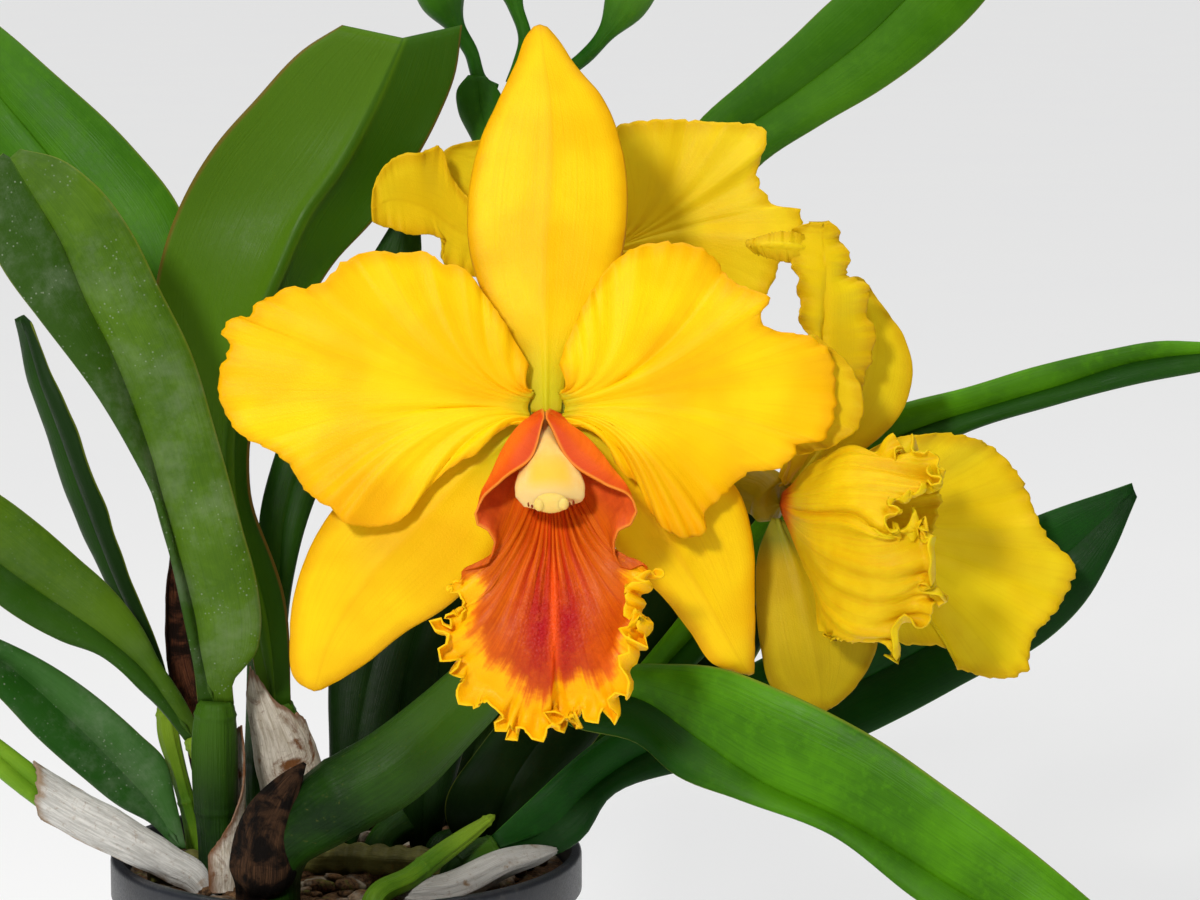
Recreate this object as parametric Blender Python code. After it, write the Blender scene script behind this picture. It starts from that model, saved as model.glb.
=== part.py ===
"""A potted cattleya orchid with three open blooms, a second spike in bud, leaves and dry sheaths.

The origin is the middle of the pot's underside, +Z is up and the main bloom faces -Y.
Sizes are in millimetres here and become metres when a mesh is made.

The plant is drawn in front elevation. A drawing point is (across, up, back): across and up are
measured on the plane of the main bloom from the sheet's lower left corner, and back is how far
behind that plane the point lies. The sheet is seen from a standpoint in front and a little above.
"""
import math

import bmesh
import bpy
import numpy as np

MM = 0.001
GAP = 0.3

# The standpoint that the drawing is made from
STANDPOINT = np.array([54.4, -839.7, 294.4])
REACH = 800.0
PITCH = math.radians(8.0)
SHEET_MIDDLE = (120.0, 90.0)
RIGHT = np.array([1.0, 0.0, 0.0])
AHEAD = np.array([0.0, math.cos(PITCH), -math.sin(PITCH)])
UPWARD = np.array([0.0, math.sin(PITCH), math.cos(PITCH)])

# Pot and medium
POT_HEIGHT = 90.0
POT_RIM_RADIUS = 50.5
POT_BASE_RADIUS = 37.0
POT_WALL = 1.3
POT_RIM_DEPTH = 9.0
POT_RIM_WALL = 2.4
POT_FLOOR = 2.5
POT_SIDES = 40
DRAIN_RADIUS = 2.3
DRAIN_CIRCLE = 24.0
DRAIN_COUNT = 8
MEDIUM_TOP = 85.0
RHIZOME_RADIUS = 3.5

# Thickness of the plant's thin organs
TEPAL = 0.8
LEAF = 1.8
PAPER = 0.7

# Flowers: the knob at the end of the ovary, which carries the tepals, and the pedicel behind it
KNOB_RADIUS = 4.6
PEDICEL_RADIUS = 2.2
NODE_RADIUS = 4.4
BUD_NODE_RADIUS = 3.0

COLOURS = {
    "pot_plastic": (0.015, 0.016, 0.02),
    "bark": (0.16, 0.11, 0.07),
    "rhizome_skin": (0.12, 0.13, 0.05),
    "bulb_green": (0.05, 0.16, 0.02),
    "leaf_green": (0.04, 0.13, 0.015),
    "young_green": (0.16, 0.33, 0.03),
    "dry_sheath": (0.42, 0.36, 0.27),
    "dark_sheath": (0.07, 0.04, 0.025),
    "sepal_yellow": (0.93, 0.58, 0.01),
    "petal_yellow": (0.95, 0.56, 0.01),
    "lip_orange": (0.85, 0.2, 0.02),
    "column_cream": (0.93, 0.75, 0.35),
    "stem_green": (0.16, 0.28, 0.05),
    "bud_green": (0.09, 0.3, 0.02),
}
ROUGHNESS = {"pot_plastic": 0.35, "bark": 0.9, "dry_sheath": 0.85, "dark_sheath": 0.7}


def spot(across, up, back):
    """World place, in millimetres, of a drawing point."""
    reach = REACH + back
    spread = reach / REACH
    return (STANDPOINT + AHEAD * reach + RIGHT * (across - SHEET_MIDDLE[0]) * spread
            + UPWARD * (up - SHEET_MIDDLE[1]) * spread)


def drawing_point(place):
    """The drawing point (across, up, back) of a world place, the inverse of spot()."""
    ray = place - STANDPOINT
    reach = np.dot(ray, AHEAD)
    spread = reach / REACH
    return (np.dot(ray, RIGHT) / spread + SHEET_MIDDLE[0], np.dot(ray, UPWARD) / spread + SHEET_MIDDLE[1],
            reach - REACH)


def smooth(points, count):
    """`count` points evenly along a smooth curve through `points`, spaced by their first three numbers."""
    points = np.array(points, dtype=float)
    at = np.concatenate([[0.0], np.cumsum(np.linalg.norm(np.diff(points[:, :3], axis=0), axis=1))])
    slopes = np.gradient(points, at, axis=0)
    wanted = np.linspace(0.0, at[-1], count)
    index = np.clip(np.searchsorted(at, wanted, side="right") - 1, 0, len(at) - 2)
    span = (at[index + 1] - at[index])[:, None]
    t = (wanted - at[index])[:, None] / span
    start = (2 * t**3 - 3 * t**2 + 1) * points[index] + (t**3 - 2 * t**2 + t) * span * slopes[index]
    end = (3 * t**2 - 2 * t**3) * points[index + 1] + (t**3 - t**2) * span * slopes[index + 1]
    return start + end


def unit(vector):
    return vector / np.linalg.norm(vector)


def material(slot):
    """The Principled material of one slot, made once."""
    if slot in bpy.data.materials:
        return bpy.data.materials[slot]
    made = bpy.data.materials.new(slot)
    made.use_nodes = True
    shader = made.node_tree.nodes["Principled BSDF"]
    shader.inputs["Base Color"].default_value = (*COLOURS[slot], 1.0)
    shader.inputs["Roughness"].default_value = ROUGHNESS.get(slot, 0.5)
    return made


def make(name, vertices, faces, slot):
    """A mesh object from millimetre vertices, with its faces turned outwards."""
    mesh = bpy.data.meshes.new(name)
    mesh.from_pydata([tuple(np.asarray(v) * MM) for v in vertices], [], faces)
    work = bmesh.new()
    work.from_mesh(mesh)
    bmesh.ops.recalc_face_normals(work, faces=work.faces[:])
    bmesh.ops.triangulate(work, faces=[f for f in work.faces if len(f.verts) == 4])
    work.to_mesh(mesh)
    work.free()
    mesh.shade_smooth()
    mesh.set_sharp_from_angle(angle=math.radians(45.0))
    mesh.materials.append(material(slot))
    made = bpy.data.objects.new(name, mesh)
    bpy.context.collection.objects.link(made)
    return made


def slab(name, grid, thickness, slot):
    """A closed sheet of even thickness about a grid of places."""
    rows, columns = grid.shape[:2]
    normal = np.cross(np.gradient(grid, axis=0), np.gradient(grid, axis=1))
    normal /= np.linalg.norm(normal, axis=2, keepdims=True)
    front = (grid + normal * thickness / 2).reshape(-1, 3)
    rear = (grid - normal * thickness / 2).reshape(-1, 3)
    shift = rows * columns
    faces = []
    for i in range(rows - 1):
        for j in range(columns - 1):
            a, b = i * columns + j, i * columns + j + 1
            c, d = b + columns, a + columns
            faces.append((a, b, c, d))
            faces.append((shift + d, shift + c, shift + b, shift + a))
    border = [j for j in range(columns)]
    border += [i * columns + columns - 1 for i in range(1, rows)]
    border += [(rows - 1) * columns + j for j in range(columns - 2, -1, -1)]
    border += [i * columns for i in range(rows - 2, 0, -1)]
    for here, after in zip(border, border[1:] + border[:1]):
        faces.append((after, here, shift + here, shift + after))
    return make(name, np.vstack([front, rear]), faces, slot)


def blade(name, lines, thickness, slot, along=9, across=5):
    """A leaf or sepal lofted over drawing lines that run from its base to its tip, left to right."""
    rows = np.array([smooth(line, along) for line in lines])
    grid = [[spot(*point) for point in smooth(rows[:, i], across)] for i in range(along)]
    return slab(name, np.array(grid), thickness, slot)


def fan(name, claw, margin, dish, slot, veins=17, steps=6):
    """A petal whose veins spread from its claw, a short line, to the points of its margin.

    dish is how far the middle of the blade stands forward of a straight vein.
    """
    foot = smooth(claw, veins)
    rim = smooth(margin, veins)
    reach = unit(np.mean(rim, axis=0) - np.mean(foot, axis=0))
    grid = []
    for start, end in zip(foot, rim):
        length = np.linalg.norm(end - start)
        bend = start + reach * length * 0.45
        bend[2] = start[2] * 0.3 + end[2] * 0.7 - dish
        row = []
        for t in np.linspace(0.0, 1.0, steps):
            point = (1 - t)**2 * start + 2 * t * (1 - t) * bend + t**2 * end
            row.append(spot(*point))
        grid.append(row)
    return slab(name, np.array(grid), TEPAL, slot)


def frames(path, first=None):
    """Two unit vectors across the path at each of its points, carried along without twisting."""
    path = np.asarray(path, dtype=float)
    tangents = np.gradient(path, axis=0)
    if first is not None:
        tangents[0] = first
    tangents = np.array([unit(t) for t in tangents])
    start = RIGHT if abs(tangents[0][0]) < 0.9 else np.array([0.0, 1.0, 0.0])
    side = unit(start - tangents[0] * np.dot(start, tangents[0]))
    sides, fronts = [], []
    for tangent in tangents:
        side = unit(side - tangent * np.dot(side, tangent))
        sides.append(side)
        fronts.append(np.cross(tangent, side))
    return np.array(sides), np.array(fronts)


def stem(name, path, slot, sides=8, count=7, foot=False, flat=1.0):
    """A closed round rod. The path's points are (x, y, z, radius) in world millimetres.

    count is the number of its rings, or 0 for a ring at each point as given. With foot set, the first
    end is level, to stand on the medium. flat is the rod's depth for its width.
    """
    points = smooth(path, count) if count else np.array(path, dtype=float)
    places, radii = points[:, :3], points[:, 3]
    across, front = frames(places, np.array([0.0, 0.0, 1.0]) if foot else None)
    vertices = []
    for place, radius, a, b in zip(places, radii, across, front):
        for k in range(sides):
            angle = 2 * math.pi * k / sides
            vertices.append(place + radius * (math.cos(angle) * a + flat * math.sin(angle) * b))
    last = (len(points) - 1) * sides
    faces = [tuple(range(sides)), tuple(range(last, last + sides))]
    for low in range(0, last, sides):
        for k in range(sides):
            after = (k + 1) % sides
            faces.append((low + k, low + after, low + sides + after, low + sides + k))
    return make(name, vertices, faces, slot)


def wrap(name, path, arc, slot, thickness=PAPER, count=6, across=6):
    """A sheath: part of a tube about a path of (x, y, z, radius), from one angle to another."""
    points = smooth(path, count)
    side, front = frames(points[:, :3])
    angles = np.radians(np.linspace(arc[0], arc[1], across))
    grid = []
    for point, a, b in zip(points, side, front):
        grid.append([point[:3] + point[3] * (math.cos(t) * a + math.sin(t) * b) for t in angles])
    return slab(name, np.array(grid), thickness, slot)


def drawn(*rows):
    """Path points (x, y, z, radius) from drawing rows of across, up, back and radius."""
    return [(*spot(*row[:3]), row[3]) for row in rows]


def ground(x, y, radius):
    """A foot on top of the medium, and the point straight above it where the rod may start to lean."""
    foot = MEDIUM_TOP + GAP
    return [(x, y, foot, radius), (x, y, foot + radius, radius)]


def perch(path, half_width, aside=0.0, lift=0.5):
    """Drawing points left, middle and right of a leaf's base on the far end of a pseudobulb's path.

    aside moves the base away from the viewer across the end, and lift is its distance from it.
    """
    points = smooth(path, 12)
    heading = unit(points[-1][:3] - points[-2][:3])
    across = unit(np.cross(AHEAD, heading) * -1)
    across = across if across[0] > 0 else -across
    away = AHEAD - heading * np.dot(AHEAD, heading)
    centre = points[-1][:3] + heading * lift + unit(away) * aside
    return [drawing_point(centre + across * half_width * k) for k in (-1, 0, 1)]


def leaf(name, base, lines, slot="leaf_green", along=11, across=5):
    """A leaf whose left edge, midrib and right edge start from the three points of its base."""
    blade(name, [[start, *line] for start, line in zip(base, lines)], LEAF, slot, along, across)


def turned(name, profile, slot, sides):
    """A closed body turned about the Z axis from a profile of (radius, z), with flat ends."""
    vertices = []
    for radius, z in profile:
        for k in range(sides):
            angle = 2 * math.pi * k / sides
            vertices.append((radius * math.cos(angle), radius * math.sin(angle), z))
    last = (len(profile) - 1) * sides
    faces = [tuple(range(sides)), tuple(range(last, last + sides))]
    for low in range(0, last, sides):
        for k in range(sides):
            after = (k + 1) % sides
            faces.append((low + k, low + after, low + sides + after, low + sides + k))
    return make(name, vertices, faces, slot)


def wall_radius(z):
    """Outside radius of the pot's tapered wall at height z."""
    shoulder = POT_RIM_RADIUS - POT_RIM_WALL
    return POT_BASE_RADIUS + (shoulder - POT_BASE_RADIUS) * z / (POT_HEIGHT - POT_RIM_DEPTH)


def make_pot():
    shoulder = POT_HEIGHT - POT_RIM_DEPTH
    mouth = POT_RIM_RADIUS - POT_RIM_WALL
    profile = [(POT_BASE_RADIUS - 1, 0), (wall_radius(1), 1), (wall_radius(shoulder), shoulder),
               (POT_RIM_RADIUS, shoulder + 0.6), (POT_RIM_RADIUS, POT_HEIGHT - 0.8),
               (POT_RIM_RADIUS - 0.8, POT_HEIGHT), (mouth + 0.6, POT_HEIGHT), (mouth, POT_HEIGHT - 0.6),
               (mouth - POT_WALL / 2, shoulder - 1), (wall_radius(POT_FLOOR) - POT_WALL, POT_FLOOR)]
    pot = turned("pot", profile, "pot_plastic", POT_SIDES)
    for k in range(DRAIN_COUNT):
        angle = 2 * math.pi * k / DRAIN_COUNT
        bpy.ops.mesh.primitive_cylinder_add(vertices=10, radius=DRAIN_RADIUS * MM, depth=0.02,
                                            location=(DRAIN_CIRCLE * math.cos(angle) * MM,
                                                      DRAIN_CIRCLE * math.sin(angle) * MM, 0))
        cutter = bpy.context.object
        cutter.name = f"drain_cutter_{k}"
        cutter.hide_render = True
        cutter.display_type = "WIRE"
        cut = pot.modifiers.new(f"drain_{k}", "BOOLEAN")
        cut.operation = "DIFFERENCE"
        cut.object = cutter


def make_medium():
    low, high = POT_FLOOR + GAP, MEDIUM_TOP
    shoulder = POT_HEIGHT - POT_RIM_DEPTH - 1
    clear = POT_WALL + GAP + 0.1
    top_radius = POT_RIM_RADIUS - POT_RIM_WALL - POT_WALL / 2 - 0.4
    profile = [(wall_radius(low) - clear, low), (wall_radius(shoulder) - clear, shoulder),
               (top_radius, high)]
    turned("potting_medium", profile, "bark", POT_SIDES)


def make_rhizome():
    run = [(-41, -14), (-30, -11), (-15, -6), (0, -5), (12, -8.2), (22, -9.2)]
    height = MEDIUM_TOP + GAP + RHIZOME_RADIUS
    stem("rhizome", [(x, y, height, RHIZOME_RADIUS) for x, y in run], "rhizome_skin", count=9)


# Pseudobulbs, each from a foot on the medium to the ring that carries its leaves.
# A drawing row is across, up, back and radius.
BULBS = {
    "bulb_front_left": ground(-26, -18.5, 4.0) + drawn(
        (43, 12, 42, 5.0), (42.5, 24, 40, 5.8), (43, 34, 38, 5.2), (43.2, 40, 36.5, 3.8)),
    "bulb_back_left": ground(-18, 0.5, 3.2) + drawn(
        (52, 20, 68, 3.4), (52.5, 40, 66, 3.4), (52.4, 60, 64, 2.8)),
    "bulb_notched": ground(-8, 3.5, 4.0) + drawn(
        (60, 20, 60, 4.8), (56.5, 32, 56, 4.6), (55.2, 39.5, 53, 3.6)),
    "bulb_slender": ground(-32, -3.6, 2.0) + drawn(
        (39.4, 14, 56, 2.0), (36.5, 26, 55, 2.2), (33.8, 34, 54.4, 2.6), (33.2, 39.6, 54, 2.0)),
    "bulb_upper_left": ground(-24, -2.5, 2.4) + drawn(
        (46, 14, 56, 2.6), (42, 26, 52, 2.6), (38.5, 33, 49, 2.2)),
    "bulb_front_right": ground(-12.5, -35, 4.6) + drawn(
        (56.4, 11, 22, 6.6), (67, 19.6, 19, 8.2), (79, 27, 18, 8.2), (89, 36, 21, 7.2),
        (97.5, 44.5, 24, 6.2),
        (101, 48.6, 25, 5.0)),
    "bulb_dark_right": ground(24, -19, 3.4) + drawn((95, 8, 42.5, 4.0), (99.6, 10.4, 43.4, 3.0)),
    "bulb_far_right": ground(20, -1.0, 3.4) + drawn(
        (96, 12, 68, 4.0), (108, 22, 66, 4.0), (117, 30.5, 65, 3.0)),
    "bulb_top_right": ground(7, 3.0, 3.4) + drawn(
        (90, 20, 72, 4.0), (102, 40, 76, 3.8), (111.5, 55, 79, 2.8)),
    "young_shoot": ground(8, -37, 2.4) + drawn(
        (82, 4.5, 28, 2.8), (88, 9, 32, 2.6), (95, 14, 38, 1.6), (99, 17, 42, 0.6)),
}
YOUNG = ("bulb_slender", "bulb_upper_left", "young_shoot")
THICK = "bulb_front_right"


def make_bulbs():
    for name, path in BULBS.items():
        slot = "young_green" if name in YOUNG else "bulb_green"
        rings, sides = (10, 10) if name == THICK else (8, 8)
        stem(name, path, slot, sides=sides, count=rings, foot=True)


def make_left_leaves():
    leaf("leaf_front_left", perch(BULBS["bulb_front_left"], 2.0), [
        [(38.6, 48, 30), (37, 56, 27), (34.4, 68, 24), (31.6, 79, 22), (26, 90, 20),
         (20, 100, 18), (8, 116, 15), (0, 127, 13), (-4.6, 137, 12), (-3, 146, 11.5), (0.6, 149.4, 11.5)],
        [(39.8, 49, 32), (38.4, 57, 30), (36, 66, 28), (33, 76, 26), (30, 88, 24),
         (26, 100, 22), (22, 110, 20), (17, 120, 17), (12, 132, 14), (6, 142, 12.5), (2, 148.5, 11.8)],
        [(50, 46, 32), (52.4, 54, 29), (51.6, 62, 27), (48, 76, 25), (43, 94, 22),
         (38, 110, 19), (32, 122, 16.5), (26, 134, 14), (19, 143, 12.5), (12, 148.2, 12),
         (4, 150.2, 11.8)],
    ], along=12)
    leaf("leaf_back_left", perch(BULBS["bulb_back_left"], 1.5), [
        [(44, 76, 66), (34, 96, 69), (24, 112, 71), (12, 130, 73), (0, 146, 75), (-10, 160, 77),
         (-17, 176, 79),
         (-19.4, 186.4, 80)],
        [(47, 78, 64), (38, 100, 67), (30, 118, 69), (18, 138, 71), (0, 160.6, 74), (-9, 171, 77),
         (-16, 181, 79),
         (-19, 187, 80)],
        [(50, 80, 66), (46, 100, 68), (41, 120, 70), (35.5, 139, 71), (26, 151, 72), (10, 166, 74),
         (0, 174.6, 76),
         (-10, 182, 78), (-18.2, 187.4, 80)],
    ])
    leaf("leaf_notched", perch(BULBS["bulb_notched"], 1.8, aside=-1.4), [
        [(49, 56, 53), (41, 80, 54), (33, 108, 53), (31, 120, 52), (33, 131, 50), (37, 141, 49),
         (43, 151, 47),
         (51, 160, 45), (61, 170.4, 43), (68.4, 175, 42)],
        [(52.4, 56, 51), (46, 82, 50), (48, 106, 49), (56, 126, 47), (61, 137, 46), (68, 147, 44),
         (74, 158, 43),
         (80.6, 172.4, 41)],
        [(57, 60, 51), (50, 82, 51), (50, 92, 51), (58, 112, 51), (67, 127.6, 50), (74.4, 135.6, 49),
         (83, 148, 47), (87.4, 156, 46), (91, 165, 44), (92.4, 175, 42)],
    ], along=12)
    leaf("leaf_shaded", perch(BULBS["bulb_notched"], 1.4, aside=1.8), [
        [(53, 62, 59), (52, 76, 61), (56, 92, 63), (64, 112, 64), (74, 128, 64), (80, 138, 64)],
        [(56, 62, 58), (57, 76, 60), (63, 94, 62), (72, 112, 63), (79, 127, 63), (82, 137.6, 63.4)],
        [(58.4, 64, 59), (62, 78, 61), (70, 96, 63), (79, 112, 64), (84, 126, 64), (84, 137, 64)],
    ])
    leaf("leaf_slender", perch(BULBS["bulb_slender"], 1.2), [
        [(27, 54, 57), (21, 66, 58), (16, 76, 59), (11.4, 88, 59), (7, 102, 58), (3, 116.2, 56)],
        [(29, 54, 54), (24, 65, 54), (19, 77, 53.5), (14, 90, 53), (9, 104, 52), (4.6, 117, 53)],
        [(31, 52, 51.6), (26, 64, 50.6), (19.6, 82, 49), (12.6, 99, 48), (6.2, 115.6, 51)],
    ], along=10, across=4)
    leaf("leaf_upper_left", perch(BULBS["bulb_upper_left"], 1.2), [
        [(32, 38.4, 45), (27.6, 42.6, 42), (20, 49, 40), (12, 52, 38), (0, 59, 34), (-10, 69, 30),
         (-19, 84, 27)],
        [(33, 40, 45.4), (28, 46, 44), (20, 53, 42), (10, 60, 40), (0, 67, 36), (-9, 75, 32),
         (-18.6, 85.4, 27.4)],
        [(35.4, 42.2, 45.5), (32, 47.4, 44.6), (28, 55, 43), (21.6, 63, 41), (16, 68, 39), (8, 75, 36),
         (0, 81, 33),
         (-9, 86, 30), (-18, 87, 27)],
    ], along=10)
    rhizome_top = MEDIUM_TOP + GAP + 2 * RHIZOME_RADIUS
    crook = [(x, -12.4, rhizome_top + 0.6) for x in (-35.6, -34.4, -33.2)]
    leaf("leaf_lower_left", [drawing_point(np.array(place)) for place in crook], [
        [(30, 15.6, 49), (24, 18.8, 48), (16, 25, 46), (8, 32, 44), (0, 40.4, 40), (-9, 49, 36),
         (-17.5, 54, 33)],
        [(31, 18, 50), (24, 26, 50), (12, 38, 47), (0, 48, 43), (-9, 53, 38), (-17.6, 55, 33.4)],
        [(35, 20, 50), (33, 28, 50), (28, 33, 48), (20, 40, 46), (10, 47, 43), (0, 52, 39),
         (-9, 55.5, 36),
         (-17, 56.2, 33)],
    ], along=10)
    leaf("new_growth_leaf", perch(NEW_GROWTH, 2.0), [
        [(4, 21.4, 34), (0, 24.6, 32), (-8, 32, 28), (-15.5, 36.4, 25)],
        [(4, 25, 35), (0, 28.5, 33), (-8, 34.5, 29), (-15.6, 37.6, 25.4)],
        [(4, 29, 34), (0, 32, 32), (-8, 37, 28), (-15, 39, 25)],
    ], slot="young_green", along=6)


def make_right_leaves():
    leaf("leaf_front_right", perch(BULBS["bulb_front_right"], 3.0, aside=-2.2, lift=1.0), [
        [(112, 46.8, 20), (130.2, 47.2, 14), (144, 46.4, 8), (156, 42, 3), (174, 33, -3),
         (190, 22, -8), (206, 10, -12), (218, 0, -15), (228, -9, -18), (232.6, -15.4, -19.5)],
        [(113, 42.5, 22), (128.4, 40.2, 17), (140, 32, 11), (152.2, 23.2, 6), (167.8, 16, 1),
         (193.6, 0.4, -8), (212, -10, -15), (231, -17, -19.8)],
        [(112, 36, 20), (128, 31, 13), (134.8, 25.2, 9), (148, 20, 3), (166, 13.2, -3),
         (183.4, 0, -9), (198, -9, -14), (214, -16.5, -18), (229, -18.8, -20)],
    ], along=12)
    leaf("leaf_dark_right", perch(BULBS["bulb_dark_right"], 1.8), [
        [(106, 20, 46), (120, 32, 48), (140, 42, 49), (160, 52, 50), (176, 60, 50), (192, 70, 49),
         (208, 77, 48),
         (226.4, 83.4, 46)],
        [(109, 14, 47), (118, 22, 50), (130, 30, 51), (148, 34, 52), (168, 42, 53), (184, 50, 52),
         (200, 60, 51), (215, 71, 49), (226.8, 82, 46.4)],
        [(110, 8.6, 46), (116.4, 12.2, 47), (122, 20.6, 48), (134.8, 25.4, 49), (150, 27, 50),
         (173, 33, 50), (180, 36.4, 50), (196, 45, 50), (208, 51, 49), (217, 59.6, 48), (222.4, 69, 47),
         (227.4, 80.6, 46)],
    ], along=12)
    leaf("leaf_far_right", perch(BULBS["bulb_far_right"], 1.6, aside=-1.4), [
        [(133, 53, 62), (148, 72, 60), (164, 90, 58), (174, 97, 57), (182, 99.6, 56),
         (192, 102, 54), (208, 106.8, 52), (222, 110, 49), (232, 111.6, 47), (240, 111.4, 46),
         (257.5, 110.8, 43)],
        [(136, 50, 65), (152, 68, 63), (168, 84, 62), (178, 92, 60), (188, 96, 58),
         (200, 99.6, 56), (212, 103, 54), (226, 107.6, 51), (240, 109.6, 48), (257.8, 110, 43.4)],
        [(139, 47, 62), (156, 64, 60), (171, 78, 59), (180, 86, 58), (192, 93, 56),
         (210, 98.8, 53), (228, 103.4, 49), (240, 105.6, 47), (257.5, 109, 43)],
    ])
    leaf("leaf_top_right", perch(BULBS["bulb_top_right"], 1.6, aside=1.4), [
        [(118, 90, 84), (126, 120, 86), (140, 156, 88), (149, 164, 89), (158, 172, 90),
         (166.4, 180, 92), (178, 189, 94), (192, 197, 96), (203, 199, 98)],
        [(122, 88, 86), (132, 118, 89), (146, 151.4, 90), (160, 162, 91), (174, 173, 92),
         (181, 180, 93), (190, 188, 95), (198, 195, 97), (204, 198.4, 98)],
        [(126, 86, 84), (138, 116, 86), (152, 147, 88), (164, 155, 89), (176, 162, 90),
         (188, 171, 92), (197, 180, 94), (203, 189, 96), (205, 197.4, 98)],
    ])
    leaf("leaf_upright", perch(BULBS["bulb_far_right"], 1.2, aside=1.9, lift=0.6), [
        [(112, 40, 68), (100, 44, 67.5), (84, 46, 70), (70, 56, 73), (68, 72, 74), (76, 96, 74),
         (84, 112, 74)],
        [(113, 42, 67.5), (103, 50, 67.5), (90, 56, 70), (80, 66, 73), (79, 80, 74), (84, 98, 74),
         (87, 112.6, 74)],
        [(114, 44, 68), (106, 56, 68), (96, 64, 71), (91, 72, 73), (90, 84, 74), (91, 100, 74),
         (90, 112, 74)],
    ])


def part_way(path, start, end, clearance):
    """A stretch of a pseudobulb's path, by fractions of its length, with its radii enlarged."""
    points = smooth(path, 21)
    chosen = points[round(start * 20):round(end * 20) + 1].copy()
    chosen[:, 3] += clearance
    return [tuple(point) for point in chosen]


NEW_GROWTH = ground(-38, -22.5, 2.8) + drawn(
    (34.4, 6, 39.5, 3.2), (26, 11, 38.5, 4.2), (17, 16, 37.5, 4.6), (10.4, 20, 36.6, 3.4))
SHEATH_CLEARANCE = 1.3


def make_sheaths():
    """Dry bracts, each standing clear of the pseudobulb that it wraps."""
    wrap("sheath_brown", drawn(
        (44.6, 19, 54.6, 3.8), (42.4, 25, 52.6, 3.8), (39.4, 36, 55, 3.2), (36.4, 46, 56, 2.8),
        (35.2, 58, 56, 2.2), (34.8, 68, 56, 1.2)), (20, 190), "dark_sheath", count=7)
    wrap("sheath_papery", part_way(BULBS["bulb_notched"], 0.3, 0.95, SHEATH_CLEARANCE), (-215, 10),
         "dry_sheath")
    wrap("sheath_dark", part_way(BULBS["bulb_front_right"], 0.0, 0.25, SHEATH_CLEARANCE), (-200, -20),
         "dark_sheath")
    wrap("sheath_grey", part_way(BULBS["bulb_front_left"], 0.1, 0.75, SHEATH_CLEARANCE), (-80, 70),
         "dry_sheath")
    lying = [(13, -30, MEDIUM_TOP + GAP + 0.5, 1.2), (20, -28, MEDIUM_TOP + GAP + 1.6, 3.0)]
    stem("sheath_white", lying + drawn((98, 5.4, 33, 3.2), (105, 7.8, 38, 3.0), (110, 9.4, 44, 1.0)),
         "dry_sheath", count=7, flat=0.4)
    stem("new_growth_sheath", NEW_GROWTH, "dry_sheath", foot=True, flat=0.8)


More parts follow.
